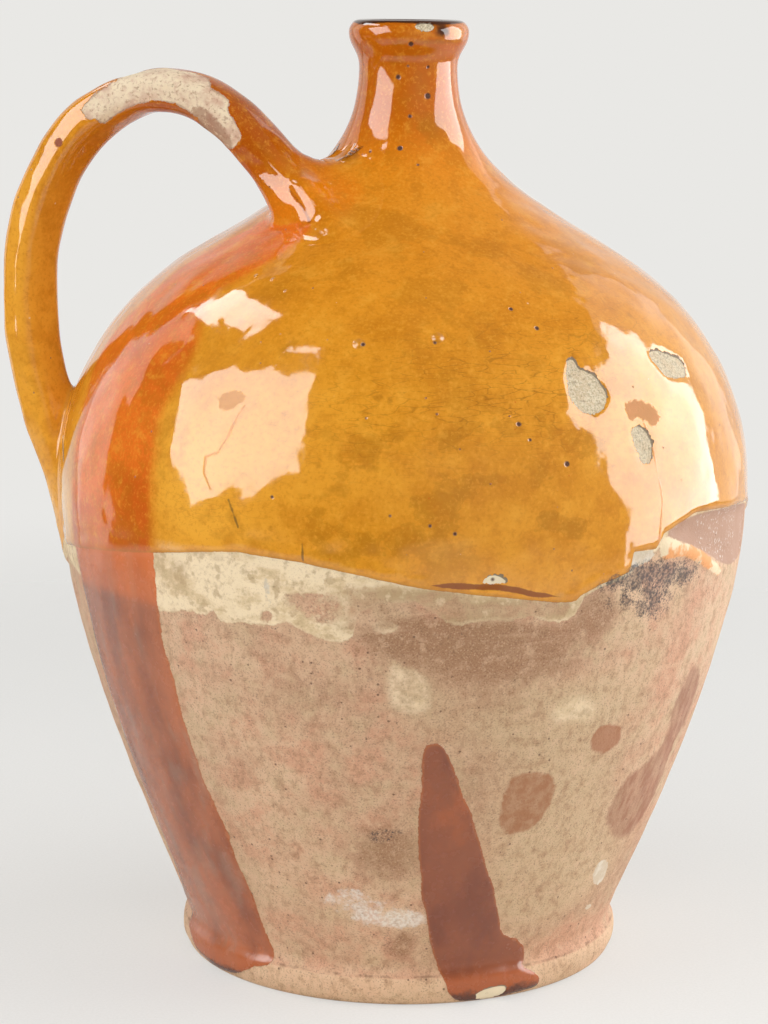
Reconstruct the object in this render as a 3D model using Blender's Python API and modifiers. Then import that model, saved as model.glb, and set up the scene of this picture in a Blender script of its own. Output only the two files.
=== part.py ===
"""A free-standing earthenware oil jug, modelled as the clay members a potter joins.

A turned foot, flaring lower wall, domed shoulder, narrow neck and rolled lip share one axis,
and a pulled loop handle is luted on by a spread upper root and a smeared lower root.
Metres, +Z up. The origin is the centre of the flat underside, and the handle is towards -X.
"""

import math

import bmesh
import bpy
import numpy as np

# Turned body, from the table upwards
JUG_HEIGHT = 0.3700
FOOT_FLAT_RADIUS = 0.0835
FOOT_RADIUS = 0.0885
FOOT_ROLL_LEVEL = 0.0075
FOOT_ROLL_PULL = 0.0048
PINCH_PULL = 0.0032
FOOT_HEIGHT = 0.0155
PINCH_RADIUS = 0.0864
WALL_LEAN = math.radians(22.2)
WALL_PULL = 0.0666
BELLY_RADIUS = 0.1367
BELLY_PULL_DOWN = 0.0560
BELLY_PULL_UP = 0.0266
SHOULDER_RISE = 0.0879
SHOULDER_RADIUS = 0.0850
SHOULDER_LEAN = math.radians(58.7)
SHOULDER_PULL_DOWN = 0.0445
SHOULDER_PULL_UP = 0.0432
NECK_RISE = 0.0721
NECK_LENGTH = 0.0340
NECK_RADIUS = 0.0195
NECK_PULL = 0.0381
LIP_RISE = 0.0136
LIP_RADIUS = 0.0238
LIP_PULL = 0.0060
CROWN_RISE = 0.0044
CROWN_INSET = 0.0045
MOUTH_ROLL_HEIGHT = 0.0060

# Clay thickness
BODY_WALL = 0.0070
NECK_WALL = 0.0055

# Handle, in the upright plane through its two roots
LOWER_ROOT_AZIMUTH = math.radians(180.0)
UPPER_ROOT_AZIMUTH = math.radians(215.0)
UPPER_ROOT_RISE = 0.0220
HANDLE_THICKNESS = 0.0185
HANDLE_WIDTH = 0.0240
HANDLE_REACH = 0.0126
HANDLE_BEND_RISE = 0.0700
HANDLE_BEND_PULL_DOWN = 0.0350
HANDLE_BEND_PULL_UP = 0.0458
HANDLE_ARCH_RISE = 0.0404
HANDLE_ARCH_SETBACK = 0.0540
HANDLE_ARCH_PULL_OUT = 0.0326
HANDLE_ARCH_PULL_IN = 0.0254
UPPER_ROOT_LEAN = math.radians(43.8)
UPPER_ROOT_PULL = 0.0242
UPPER_ROOT_DEPTH = 0.0090
UPPER_ROOT_LENGTH = 0.0300
UPPER_ROOT_FLARE_RATIO = 1.40
LOWER_TAIL_LENGTH = 0.0320
LOWER_TAIL_DEPTH = 0.0125
LOWER_TAIL_LEAN = math.radians(14.0)
LOWER_TAIL_PULL = 0.0350
LOWER_ROOT_LENGTH = 0.0680
LOWER_ROOT_TAPER_RATIO = 0.80

# Clearance between luted members, and how finely round shapes are cut into facets
JOIN_GAP = 0.0003
TURN_STEPS = 48
CURVE_STEPS = 9
BLEND_STEPS = 4
PATH_STEPS = 40
HALVINGS = 50
HANDLE_POINTS = 26
ROOT_POINTS = 9
HANDLE_BEVEL_RESOLUTION = 6
CORNER_ANGLE = math.radians(35.0)
WELD_DISTANCE = 0.00001

# Heights of the stations along the axis. The jug's height is taken up by its lower wall.
LIP_LEVEL = JUG_HEIGHT - CROWN_RISE
WAIST_LEVEL = LIP_LEVEL - LIP_RISE
SHOULDER_LEVEL = WAIST_LEVEL - NECK_RISE
BELLY_LEVEL = SHOULDER_LEVEL - SHOULDER_RISE

UP = np.array([0.0, 1.0])
OUT = np.array([1.0, 0.0])


class Bezier:
    """A cubic curve between two points, with a tangent handle at each."""

    def __init__(self, start, start_handle, end_handle, end):
        self.start = np.asarray(start, float)
        self.out = self.start + start_handle
        self.end = np.asarray(end, float)
        self.back = self.end - end_handle

    def point(self, t):
        s = 1.0 - t
        return s**3 * self.start + 3 * s * s * t * self.out + 3 * s * t * t * self.back + t**3 * self.end

    def tangent(self, t):
        s = 1.0 - t
        first = self.out - self.start
        middle = self.back - self.out
        last = self.end - self.back
        slope = s * s * first + 2 * s * t * middle + t * t * last
        return slope / np.linalg.norm(slope)

    def normal(self, t):
        """The direction on the curve's right-hand side, outwards for a wall followed upwards."""
        along = self.tangent(t)
        return np.array([along[1], -along[0]])

    def at_height(self, level):
        """The parameter at which a steadily rising curve passes a height."""
        low, high = 0.0, 1.0
        for _ in range(HALVINGS):
            middle = (low + high) / 2
            if self.point(middle)[1] < level:
                low = middle
            else:
                high = middle
        return (low + high) / 2


def leaning(angle):
    """A unit vector that rises and leans away from the axis by an angle."""
    return np.array([math.sin(angle), math.cos(angle)])


# The outer line of the turned body, as radius and height
WALL_CURVE = Bezier(
    (PINCH_RADIUS, FOOT_HEIGHT),
    leaning(WALL_LEAN) * WALL_PULL,
    UP * BELLY_PULL_DOWN,
    (BELLY_RADIUS, BELLY_LEVEL),
)
DOME_CURVE = Bezier(
    (BELLY_RADIUS, BELLY_LEVEL),
    UP * BELLY_PULL_UP,
    leaning(-SHOULDER_LEAN) * SHOULDER_PULL_DOWN,
    (SHOULDER_RADIUS, SHOULDER_LEVEL),
)
THROAT_CURVE = Bezier(
    (SHOULDER_RADIUS, SHOULDER_LEVEL),
    leaning(-SHOULDER_LEAN) * SHOULDER_PULL_UP,
    UP * NECK_PULL,
    (NECK_RADIUS, WAIST_LEVEL),
)
LIP_CURVE = Bezier(
    (NECK_RADIUS, WAIST_LEVEL),
    UP * LIP_PULL,
    UP * LIP_PULL,
    (LIP_RADIUS, LIP_LEVEL),
)
NECK_SEAM = THROAT_CURVE.at_height(WAIST_LEVEL - NECK_LENGTH)


def throat_wall(t):
    """The clay thins evenly from the shoulder to the neck's waist."""
    return BODY_WALL + (NECK_WALL - BODY_WALL) * t


def even_wall(_):
    return BODY_WALL


def samples(start, end, count):
    return [start + (end - start) * i / count for i in range(count + 1)]


def outer_line(curve, start, end, count, grow=0.0):
    """Points up a curve, moved outwards by grow."""
    return [curve.point(t) + curve.normal(t) * grow for t in samples(start, end, count)]


def inner_line(curve, start, end, count, thickness):
    """Points up a curve, moved inwards by the wall's thickness there."""
    return [curve.point(t) - curve.normal(t) * thickness(t) for t in samples(start, end, count)]


def pull_back(outer, inner, first, last):
    """Move a wall's two end faces along it, to leave the join's gap."""
    for line in (outer, inner):
        line[0] = line[0] + first
        line[-1] = line[-1] - last


def quarter_round(centre, first, second, count):
    """Points from centre + first to centre + second along a quarter of an ellipse."""
    turns = samples(0.0, math.pi / 2, count)
    return [centre + first * math.cos(a) + second * math.sin(a) for a in turns]


def clear_scene():
    for old in list(bpy.data.objects):
        bpy.data.objects.remove(old, do_unlink=True)


def new_collection(name):
    collection = bpy.data.collections.new(name)
    bpy.context.scene.collection.children.link(collection)
    return collection


def clay_material(name, colour, roughness):
    material = bpy.data.materials.new(name)
    material.use_nodes = True
    shader = material.node_tree.nodes["Principled BSDF"]
    shader.inputs["Base Color"].default_value = (*colour, 1.0)
    shader.inputs["Roughness"].default_value = roughness
    shader.inputs["Metallic"].default_value = 0.0
    material.diffuse_color = (*colour, 1.0)
    return material


def shade_round(mesh):
    mesh.shade_smooth()
    mesh.set_sharp_from_angle(angle=CORNER_ANGLE)


def turned(name, collection, profile, closed):
    """Turn a profile of (radius, height), followed down its outer side, about the axis."""
    mesh = bpy.data.meshes.new(name)
    count = len(profile)
    edges = [(i, i + 1) for i in range(count - 1)]
    if closed:
        edges.append((count - 1, 0))
    mesh.from_pydata([(r, 0.0, z) for r, z in profile], edges, [])
    piece = bpy.data.objects.new(name, mesh)
    collection.objects.link(piece)
    screw = piece.modifiers.new("Turn", "SCREW")
    screw.axis = "Z"
    screw.angle = 2 * math.pi
    screw.steps = TURN_STEPS
    screw.render_steps = TURN_STEPS
    screw.use_merge_vertices = True
    screw.merge_threshold = WELD_DISTANCE
    return as_mesh(piece)


def as_mesh(source):
    """Swap an object for a plain mesh of what it evaluates to, with its loose caps welded."""
    depsgraph = bpy.context.evaluated_depsgraph_get()
    mesh = bpy.data.meshes.new_from_object(source.evaluated_get(depsgraph))
    shape = bmesh.new()
    shape.from_mesh(mesh)
    bmesh.ops.remove_doubles(shape, verts=shape.verts, dist=WELD_DISTANCE)
    shape.to_mesh(mesh)
    shape.free()
    shade_round(mesh)
    name = source.name
    collection = source.users_collection[0]
    matrix = source.matrix_world.copy()
    bpy.data.objects.remove(source, do_unlink=True)
    piece = bpy.data.objects.new(name, mesh)
    piece.matrix_world = matrix
    collection.objects.link(piece)
    return piece


def make_foot(collection):
    roll = OUT * (FOOT_RADIUS - FOOT_FLAT_RADIUS)
    upper_roll = Bezier(
        (FOOT_RADIUS, FOOT_ROLL_LEVEL),
        UP * FOOT_ROLL_PULL,
        leaning(-WALL_LEAN) * PINCH_PULL,
        (PINCH_RADIUS, FOOT_HEIGHT),
    )
    lower_roll = quarter_round(
        np.array([FOOT_FLAT_RADIUS, FOOT_ROLL_LEVEL]), roll, -UP * FOOT_ROLL_LEVEL, BLEND_STEPS
    )
    outer = outer_line(upper_roll, 0.0, 1.0, BLEND_STEPS)[::-1] + lower_roll[1:]
    profile = [(0.0, FOOT_HEIGHT), *outer, (0.0, 0.0)]
    return turned("foot", collection, profile, closed=False)


def make_lower_wall(collection):
    outer = outer_line(WALL_CURVE, 0.0, 1.0, CURVE_STEPS)
    inner = inner_line(WALL_CURVE, 0.0, 1.0, CURVE_STEPS, even_wall)
    seat = FOOT_HEIGHT + JOIN_GAP
    pull_back(outer, inner, UP * 0.0, UP * JOIN_GAP / 2)
    outer[0] = np.array([PINCH_RADIUS + JOIN_GAP * math.tan(WALL_LEAN), seat])
    inner[0] = outer[0] - OUT * BODY_WALL / math.cos(WALL_LEAN)
    return turned("lower_wall", collection, outer[::-1] + inner, closed=True)


def make_shoulder(collection):
    outer = outer_line(DOME_CURVE, 0.0, 1.0, CURVE_STEPS)
    inner = inner_line(DOME_CURVE, 0.0, 1.0, CURVE_STEPS, even_wall)
    outer += outer_line(THROAT_CURVE, 0.0, NECK_SEAM, BLEND_STEPS)[1:]
    inner += inner_line(THROAT_CURVE, 0.0, NECK_SEAM, BLEND_STEPS, throat_wall)[1:]
    pull_back(outer, inner, UP * JOIN_GAP / 2, THROAT_CURVE.tangent(NECK_SEAM) * JOIN_GAP / 2)
    return turned("shoulder", collection, outer[::-1] + inner, closed=True)


def make_neck(collection):
    outer = outer_line(THROAT_CURVE, NECK_SEAM, 1.0, CURVE_STEPS)
    inner = inner_line(THROAT_CURVE, NECK_SEAM, 1.0, CURVE_STEPS, throat_wall)
    pull_back(outer, inner, THROAT_CURVE.tangent(NECK_SEAM) * JOIN_GAP / 2, UP * JOIN_GAP / 2)
    return turned("neck", collection, outer[::-1] + inner, closed=True)


def make_lip(collection):
    outer = outer_line(LIP_CURVE, 0.0, 1.0, BLEND_STEPS)
    outer[0] = outer[0] + UP * JOIN_GAP / 2
    crown_radius = LIP_RADIUS - CROWN_INSET
    bore_radius = NECK_RADIUS - NECK_WALL
    outside = quarter_round(
        np.array([crown_radius, LIP_LEVEL]), UP * CROWN_RISE, OUT * CROWN_INSET, BLEND_STEPS
    )
    inside = quarter_round(
        np.array([crown_radius, JUG_HEIGHT - MOUTH_ROLL_HEIGHT]),
        OUT * (bore_radius - crown_radius),
        UP * MOUTH_ROLL_HEIGHT,
        BLEND_STEPS,
    )
    bore_foot = np.array([bore_radius, WAIST_LEVEL + JOIN_GAP / 2])
    return turned("lip", collection, outside + outer[-2::-1] + [bore_foot] + inside[:-1], closed=True)


def body_cutter(collection):
    """The outside of the turned body, grown by the join's gap, as one solid to cut the roots with."""
    outer = outer_line(WALL_CURVE, 0.0, 1.0, CURVE_STEPS, JOIN_GAP)
    outer += outer_line(DOME_CURVE, 0.0, 1.0, CURVE_STEPS, JOIN_GAP)[1:]
    outer += outer_line(THROAT_CURVE, 0.0, NECK_SEAM, BLEND_STEPS, JOIN_GAP)[1:]
    outer += outer_line(THROAT_CURVE, NECK_SEAM, 1.0, CURVE_STEPS, JOIN_GAP)[1:]
    profile = [(0.0, outer[-1][1]), *outer[::-1], (0.0, outer[0][1])]
    cutter = turned("body_cutter", collection, profile, closed=False)
    cutter.hide_render = True
    cutter.display_type = "WIRE"
    return cutter


def on_plan(radius, azimuth):
    return np.array([math.cos(azimuth), math.sin(azimuth)]) * radius


class HandlePath:
    """The handle's centre line, in the upright plane through its two roots."""

    def __init__(self):
        upper_level = SHOULDER_LEVEL + UPPER_ROOT_RISE
        upper_radius = THROAT_CURVE.point(THROAT_CURVE.at_height(upper_level))[0]
        self.origin = on_plan(BELLY_RADIUS, LOWER_ROOT_AZIMUTH)
        span = on_plan(upper_radius, UPPER_ROOT_AZIMUTH) - self.origin
        self.yaw = math.atan2(span[1], span[0])
        upper = np.array([np.linalg.norm(span), upper_level])
        into_shoulder = leaning(math.pi - UPPER_ROOT_LEAN)
        bend = np.array([-HANDLE_REACH, BELLY_LEVEL + HANDLE_BEND_RISE])
        arch = upper + np.array([-HANDLE_ARCH_SETBACK, HANDLE_ARCH_RISE])
        tail = np.array([LOWER_TAIL_DEPTH, BELLY_LEVEL - LOWER_TAIL_LENGTH])
        end = upper + into_shoulder * UPPER_ROOT_DEPTH
        curves = (
            Bezier(tail, leaning(-LOWER_TAIL_LEAN) * LOWER_TAIL_PULL, UP * HANDLE_BEND_PULL_DOWN, bend),
            Bezier(bend, UP * HANDLE_BEND_PULL_UP, OUT * HANDLE_ARCH_PULL_OUT, arch),
            Bezier(arch, OUT * HANDLE_ARCH_PULL_IN, into_shoulder * UPPER_ROOT_PULL, end),
        )
        points = [curves[0].point(0.0)]
        for curve in curves:
            points += [curve.point(t) for t in samples(0.0, 1.0, PATH_STEPS)[1:]]
        self.points = np.array(points)
        steps = np.linalg.norm(np.diff(self.points, axis=0), axis=1)
        self.lengths = np.concatenate([[0.0], np.cumsum(steps)])
        self.total = self.lengths[-1]

    def point(self, length):
        return [float(np.interp(length, self.lengths, self.points[:, axis])) for axis in (0, 1)]


def swept(name, collection, path, stretch, count, scales):
    """An oval bar along a stretch of the handle's path, with its own thickness at each end."""
    first_scale, last_scale = scales
    curve = bpy.data.curves.new(name, "CURVE")
    curve.dimensions = "3D"
    curve.bevel_depth = HANDLE_THICKNESS / 2
    curve.bevel_resolution = HANDLE_BEVEL_RESOLUTION
    curve.use_fill_caps = True
    spline = curve.splines.new("POLY")
    spline.points.add(count)
    for i, length in enumerate(samples(*stretch, count)):
        along, level = path.point(length)
        share = i / count
        ease = share * share * (3 - 2 * share)
        spline.points[i].co = (along, 0.0, level, 1.0)
        spline.points[i].radius = first_scale + (last_scale - first_scale) * ease
    bar = bpy.data.objects.new(name, curve)
    bar.location = (*path.origin, 0.0)
    bar.rotation_euler = (0.0, 0.0, path.yaw)
    bar.scale = (1.0, HANDLE_WIDTH / HANDLE_THICKNESS, 1.0)
    collection.objects.link(bar)
    bpy.context.view_layer.update()
    return as_mesh(bar)


def cut_by_body(root, cutter):
    cut = root.modifiers.new("Seat on the wall", "BOOLEAN")
    cut.operation = "DIFFERENCE"
    cut.solver = "EXACT"
    cut.object = cutter


def make_handle(collection, cutters):
    path = HandlePath()
    lower_seam = LOWER_ROOT_LENGTH
    upper_seam = path.total - UPPER_ROOT_LENGTH
    cutter = body_cutter(cutters)
    half = JOIN_GAP / 2
    tail = (0.0, lower_seam - half)
    middle = (lower_seam + half, upper_seam - half)
    flare = (upper_seam + half, path.total)
    lower = swept("handle_lower_root", collection, path, tail, ROOT_POINTS, (LOWER_ROOT_TAPER_RATIO, 1.0))
    loop = swept("handle", collection, path, middle, HANDLE_POINTS, (1.0, 1.0))
    upper = swept("handle_upper_root", collection, path, flare, ROOT_POINTS, (1.0, UPPER_ROOT_FLARE_RATIO))
    cut_by_body(lower, cutter)
    cut_by_body(upper, cutter)
    return lower, loop, upper


def main():
    clear_scene()
    jug = new_collection("oil_jug")
    cutters = new_collection("oil_jug_cutters")
    honey = (0.62, 0.26, 0.035)
    amber = (0.50, 0.17, 0.025)
    biscuit = (0.56, 0.36, 0.22)
    brown = (0.24, 0.10, 0.045)
    ochre = (0.55, 0.31, 0.06)
    gloss = 0.12
    dry = 0.75

    foot = make_foot(jug)
    lower_wall = make_lower_wall(jug)
    shoulder = make_shoulder(jug)
    neck = make_neck(jug)
    lip = make_lip(jug)
    lower_root, handle, upper_root = make_handle(jug, cutters)
    finishes = (
        (foot, "bare_clay_foot", brown, dry),
        (lower_wall, "bare_clay_wall", biscuit, dry),
        (shoulder, "honey_glaze_shoulder", honey, gloss),
        (neck, "honey_glaze_neck", honey, gloss),
        (lip, "worn_glaze_lip", amber, gloss),
        (handle, "ochre_glaze_handle", ochre, gloss),
        (upper_root, "amber_glaze_upper_root", amber, gloss),
        (lower_root, "ochre_glaze_lower_root", ochre, gloss),
    )
    for piece, name, colour, roughness in finishes:
        piece.data.materials.clear()
        piece.data.materials.append(clay_material(name, colour, roughness))


main()
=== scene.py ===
"""The dressed oil jug: a turned earthenware body, part glazed, and its pulled loop handle.

The body and the handle are closed meshes that repeat the CAD members' shape. Glaze, slip, runs, chips
and stains are laid out from where the photograph shows them, as fields on the meshes' points, and the
material's nodes turn the fields into edges, colour, gloss and relief.
"""

import math

import bpy
import numpy as np
from mathutils import Matrix, Vector


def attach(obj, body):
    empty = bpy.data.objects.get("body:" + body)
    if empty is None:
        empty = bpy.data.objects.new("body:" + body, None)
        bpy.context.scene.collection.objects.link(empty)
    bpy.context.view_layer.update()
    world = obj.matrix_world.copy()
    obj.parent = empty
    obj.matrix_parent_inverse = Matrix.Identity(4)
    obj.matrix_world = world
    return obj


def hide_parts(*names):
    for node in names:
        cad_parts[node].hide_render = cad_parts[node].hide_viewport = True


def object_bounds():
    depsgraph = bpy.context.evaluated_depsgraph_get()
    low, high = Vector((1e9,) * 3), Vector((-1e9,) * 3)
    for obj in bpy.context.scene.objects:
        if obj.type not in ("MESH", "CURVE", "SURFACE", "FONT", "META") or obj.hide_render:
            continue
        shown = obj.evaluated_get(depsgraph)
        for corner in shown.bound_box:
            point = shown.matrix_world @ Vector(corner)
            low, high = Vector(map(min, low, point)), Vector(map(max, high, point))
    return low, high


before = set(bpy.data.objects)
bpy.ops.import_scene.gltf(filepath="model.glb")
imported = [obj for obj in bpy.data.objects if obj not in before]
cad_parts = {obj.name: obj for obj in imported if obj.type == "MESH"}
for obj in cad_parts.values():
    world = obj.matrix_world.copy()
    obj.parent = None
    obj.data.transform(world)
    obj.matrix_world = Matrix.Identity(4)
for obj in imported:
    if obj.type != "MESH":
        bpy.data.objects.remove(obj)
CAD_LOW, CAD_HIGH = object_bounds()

# The photograph's frame in pixels, and the camera that took it
FRAME_WIDTH = 768
FRAME_HEIGHT = 1024
CAMERA_PLACE = np.array([-0.0077, -1.12, 0.383])
CAMERA_PITCH = math.radians(10.48)
CAMERA_ROLL = math.radians(0.593)
LENS = 100.13
SENSOR = 36.0
FOCAL_PIXELS = LENS / SENSOR * FRAME_HEIGHT
PIXELS_PER_MM = 2.54

# Rays of pixels: depths in metres between which they are searched, and in how many steps
RAY_NEAR = 0.9
RAY_FAR = 1.32
WALL_RAY_STEPS = 1500
JUG_RAY_STEPS = 1400

# Turned body, as in the CAD members
JUG_HEIGHT = 0.3700
FOOT_FLAT_RADIUS = 0.0835
FOOT_RADIUS = 0.0885
FOOT_ROLL_LEVEL = 0.0075
FOOT_ROLL_PULL = 0.0048
PINCH_PULL = 0.0032
FOOT_HEIGHT = 0.0155
PINCH_RADIUS = 0.0864
WALL_LEAN = math.radians(22.2)
WALL_PULL = 0.0666
BELLY_RADIUS = 0.1367
BELLY_LEVEL = 0.1920
BELLY_PULL_DOWN = 0.0560
BELLY_PULL_UP = 0.0266
SHOULDER_RADIUS = 0.0850
SHOULDER_LEVEL = 0.2799
SHOULDER_LEAN = math.radians(58.7)
SHOULDER_PULL_DOWN = 0.0445
SHOULDER_PULL_UP = 0.0432
NECK_RADIUS = 0.0195
WAIST_LEVEL = 0.3520
NECK_PULL = 0.0381
LIP_RADIUS = 0.0238
LIP_LEVEL = 0.3656
LIP_PULL = 0.0060
CROWN_INSET = 0.0045
MOUTH_ROLL_HEIGHT = 0.0060
BODY_WALL = 0.0070
NECK_WALL = 0.0055

# Handle, in the upright plane through its two roots, as in the CAD
LOWER_ROOT_AZIMUTH = math.radians(180.0)
UPPER_ROOT_AZIMUTH = math.radians(215.0)
UPPER_ROOT_RISE = 0.0220
HANDLE_THICKNESS = 0.0185
HANDLE_WIDTH = 0.0240
HANDLE_SQUARENESS = 2.8
LIMB_TWIST = math.radians(20.0)
ROOT_TWIST = math.radians(-12.0)
HANDLE_REACH = 0.0126
HANDLE_BEND_RISE = 0.0700
HANDLE_BEND_PULL_DOWN = 0.0350
HANDLE_BEND_PULL_UP = 0.0458
HANDLE_ARCH_RISE = 0.0404
HANDLE_ARCH_SETBACK = 0.0540
HANDLE_ARCH_PULL_OUT = 0.0326
HANDLE_ARCH_PULL_IN = 0.0254
UPPER_ROOT_LEAN = math.radians(43.8)
UPPER_ROOT_PULL = 0.0242
UPPER_ROOT_DEPTH = 0.0090
UPPER_ROOT_LENGTH = 0.0300
UPPER_ROOT_FLARE_RATIO = 1.40
LOWER_TAIL_LENGTH = 0.0320
LOWER_TAIL_DEPTH = 0.0125
LOWER_TAIL_LEAN = math.radians(14.0)
LOWER_TAIL_PULL = 0.0350
LOWER_ROOT_LENGTH = 0.0680
LOWER_ROOT_TAPER_RATIO = 0.80

# Steps, rounds and guards in the reckoning
CURVE_SAMPLES = 160
ROW_SAMPLES = 4000
SLOPE_STEP = 0.0005
LEAST_SLOPE_SQUARED = 0.25
RESETTLE_ROUNDS = 3
TINY = 1e-18
SMALL = 1e-9
TURN_NUDGE = 1e-6

# Fineness of the body's mesh, in degrees round and metres up
FRONT_STEP = 0.80
BACK_STEP = 2.5
FRONT_REACH = 100.0
ROW_STEP = 0.0020
FOOT_STEP = 0.0012
NECK_STEP = 0.0016
LIP_STEP = 0.0009
FOOT_ROWS_TOP = 0.022
NECK_ROWS_FROM = 0.305
LIP_ROWS_FROM = 0.350
CORNER_SOFTENING = 0.0016
MOUTH_ROWS = 7
INNER_ROWS = 22
INNER_ROWS_FROM = FOOT_HEIGHT + 0.008
FLOOR_INSET = 0.004
BOTTOM_ROWS = 6

# Shares of the flat map's height that each run of rows takes
MAP_WALL = (0.01, 0.85)
MAP_UNDER = (0.86, 0.89)
MAP_INSIDE = (0.90, 0.99)
MAP_HANDLE = (0.01, 0.99)
MAP_TIP = 0.004

# Fineness of the handle's mesh, and how its ends run over and into the body, in metres
HANDLE_RINGS = 170
HANDLE_SIDES = 48
SKIRT_RINGS = 14
BURIED_RINGS = 10
SKIRT_REACH_RATIO = 1.1
SKIRT_REACH_MORE = 0.002
ROOT_BLEND = 0.006
END_SINK = (0.0015, 0.0003)
BURIED_DEPTH = 0.004

# Coats on the clay and marks in it, in metres or, where the name says so, in millimetres
CLAY_DROP = 0.0010
GLAZE_COAT = 0.0007
GLAZE_BEAD = 0.0004
RUN_COAT = 0.0007
SLIP_COAT = 0.0003
CHIP_DEPTH = 0.0005
FACET_DEPTH = 0.0012
RIDGE_RISE = 0.0011
FOLD_DEPTH = 0.0006
DENT_DEPTH = 0.0008
FLAKE_COAT = SLIP_COAT / 2
BEAD_INSET_MM = 1.6
BEAD_REACH_MM = 1.5
FOLD_REACH_MM = 1.4
RELIEF_FADE_FOOT = 0.003
RELIEF_FADE_LIP = 0.002
HANDLE_DROP = 0.0010
WEAR_DEPTH = 0.0006

# Clay smeared where the handle joins the body, in metres
FILLET_UPPER = 0.018
FILLET_INNER = 0.005
FILLET_LOWER = 0.010
FILLET_LEVELS = (0.24, 0.28)
FILLET_SIDES = (-0.4, 0.8)
CREASE_DEPTH = 0.0010
CREASE_REACH = 0.0020
ROOT_TAIL_RISE = 0.0028
ROOT_TAIL_REACH = 0.0055
ROOT_TAIL_LEVELS = (0.282, 0.296)
ROOT_TAIL_FADE = (0.010, 0.018)

# The turned ledge at the foot, in metres
LEDGE_RISE = 0.0005
LEDGE_LEVEL = 0.0118
LEDGE_EDGE = (LEDGE_LEVEL - 0.0006, LEDGE_LEVEL + 0.0012)

# Unevenness from throwing and pulling: height and wavelength in metres, and seed
BODY_SWELLS = ((0.00016, 0.055, 3), (0.00012, 0.024, 5), (0.00005, 0.011, 7))
THROWING_RINGS = (0.00005, 0.016, 11)
THROWING_STRETCH = (0.15, 0.15, 1.0)
WAVE_SPREAD = (0.7, 1.4)
HANDLE_SWELLS = ((0.0003, 0.035, 21), (0.00012, 0.014, 22))

# Fields, in millimetres inside an edge. Beyond FAR from its edge one says no more.
FAR = 12.0
THIN_VEIL = -0.15
FOLD_HALF = 1.5
FOLD_OFF = 0.3
FACING_EDGE = 0.05
FACING_SLOPE = 14.0

# The unrolled wall, in metres and radians: the radius it is unrolled at, least sizes of a blotch, and a shift
ROLL_RADIUS = 0.125
BLOTCH_MIN_TURN = 0.004
BLOTCH_MIN_LENGTH = 0.0005
# Shift of the chips' outlines, whose remainder is a crescent of painted shade on their upper right rims
CHIP_SHADE_SHIFT = (-0.0009, -0.0008)

# Outlines in the photograph's pixels. Glaze and slip edges run from left to right.
GLAZE_EDGE = (
    (150, 553), (200, 552), (235, 552), (302, 563), (360, 576), (400, 585), (425, 590), (500, 598),
    (560, 603), (575, 602), (581, 596), (600, 585), (620, 577), (631, 571), (634, 552), (657, 549),
    (664, 534), (698, 512), (747, 500),
)
SLIP_EDGE = (
    (150, 611), (172, 612), (185, 611), (200, 616), (214, 612), (218, 621), (226, 625), (241, 622),
    (250, 625), (263, 627), (273, 627), (281, 624), (289, 625), (299, 630), (309, 635), (320, 640),
    (332, 642), (345, 643), (353, 637), (354, 622), (362, 612), (378, 604), (392, 604), (416, 603),
    (426, 609), (441, 619), (447, 624), (460, 626), (472, 624), (487, 622), (502, 621), (521, 620),
    (533, 617), (545, 622), (561, 623), (570, 620), (576, 615), (581, 606), (583, 598), (600, 588),
    (621, 580), (634, 573), (638, 556), (658, 552), (667, 537), (700, 515), (747, 503),
)
SLIP_HOLE = (
    (279, 596), (300, 594), (332, 594), (338, 600), (341, 612), (336, 624), (325, 626), (312, 622),
    (301, 615), (295, 608), (284, 603),
)
SLIP_DOT = ((258, 617), (261, 612), (267, 611), (271, 616), (269, 622), (262, 623))
SLIP_LOBE = ((367, 624), (378, 622), (398, 624), (398, 633), (385, 636), (375, 634))
BARE_BAND = (
    (322, 196), (328, 216), (318, 229), (300, 238), (268, 262), (240, 277), (212, 292), (200, 315),
    (199, 335), (194, 352), (178, 380), (165, 400), (156, 430), (152, 470), (152, 560), (156, 640),
    (110, 680), (93, 635),
    (78, 567), (72, 520), (74, 470), (84, 400), (104, 345), (150, 295), (200, 255), (250, 228), (290, 205),
)
LEFT_RUN = (
    (152, 530), (152, 560), (156, 595), (159, 625), (164, 655), (173, 681), (179, 710), (187, 736),
    (196, 762), (201, 778), (215, 809), (228, 835), (235, 863), (249, 890), (259, 918), (267, 940),
    (273, 958), (268, 966), (252, 966), (236, 976), (205, 960), (192, 940), (188, 915), (174, 864),
    (149, 804), (122, 732), (106, 682), (93, 635), (78, 567), (72, 530),
)
FRONT_RUN = (
    (423, 748), (432, 744), (441, 745), (447, 752), (451, 762), (458, 779), (463, 798), (472, 812),
    (475, 829), (480, 842), (484, 857), (488, 873), (494, 885), (496, 901), (500, 918), (502, 934),
    (510, 938), (522, 942), (526, 951), (526, 960), (521, 966), (534, 971), (541, 979), (536, 988),
    (514, 993), (490, 1000), (460, 1002), (449, 996), (446, 984), (443, 977),
    (437, 966), (430, 944), (426, 912), (420, 896), (422, 881), (419, 861), (418, 838), (418, 818),
    (421, 798), (422, 772),
)
LARGE_SPOT = (
    (512, 779), (524, 774), (538, 772), (549, 774), (556, 781), (557, 791), (553, 803), (546, 816),
    (536, 828), (523, 835), (510, 836), (501, 830), (499, 820), (502, 807), (504, 794),
)
SMALL_SPOT = (
    (596, 732), (604, 727), (613, 725), (620, 727), (624, 733), (623, 741), (618, 748), (610, 753),
    (600, 755), (593, 752), (591, 744),
)
FOLD_LINE = (
    (418, 586), (432, 586), (460, 587), (499, 588), (518, 591), (535, 595), (550, 596), (572, 598),
)
FOLD_ENDS = ((424, 594), (450, 594), (535, 594), (572, 594))
FOLD_CHIP = ((480, 583), (487, 577), (496, 573), (505, 576), (513, 584), (497, 585))
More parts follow.
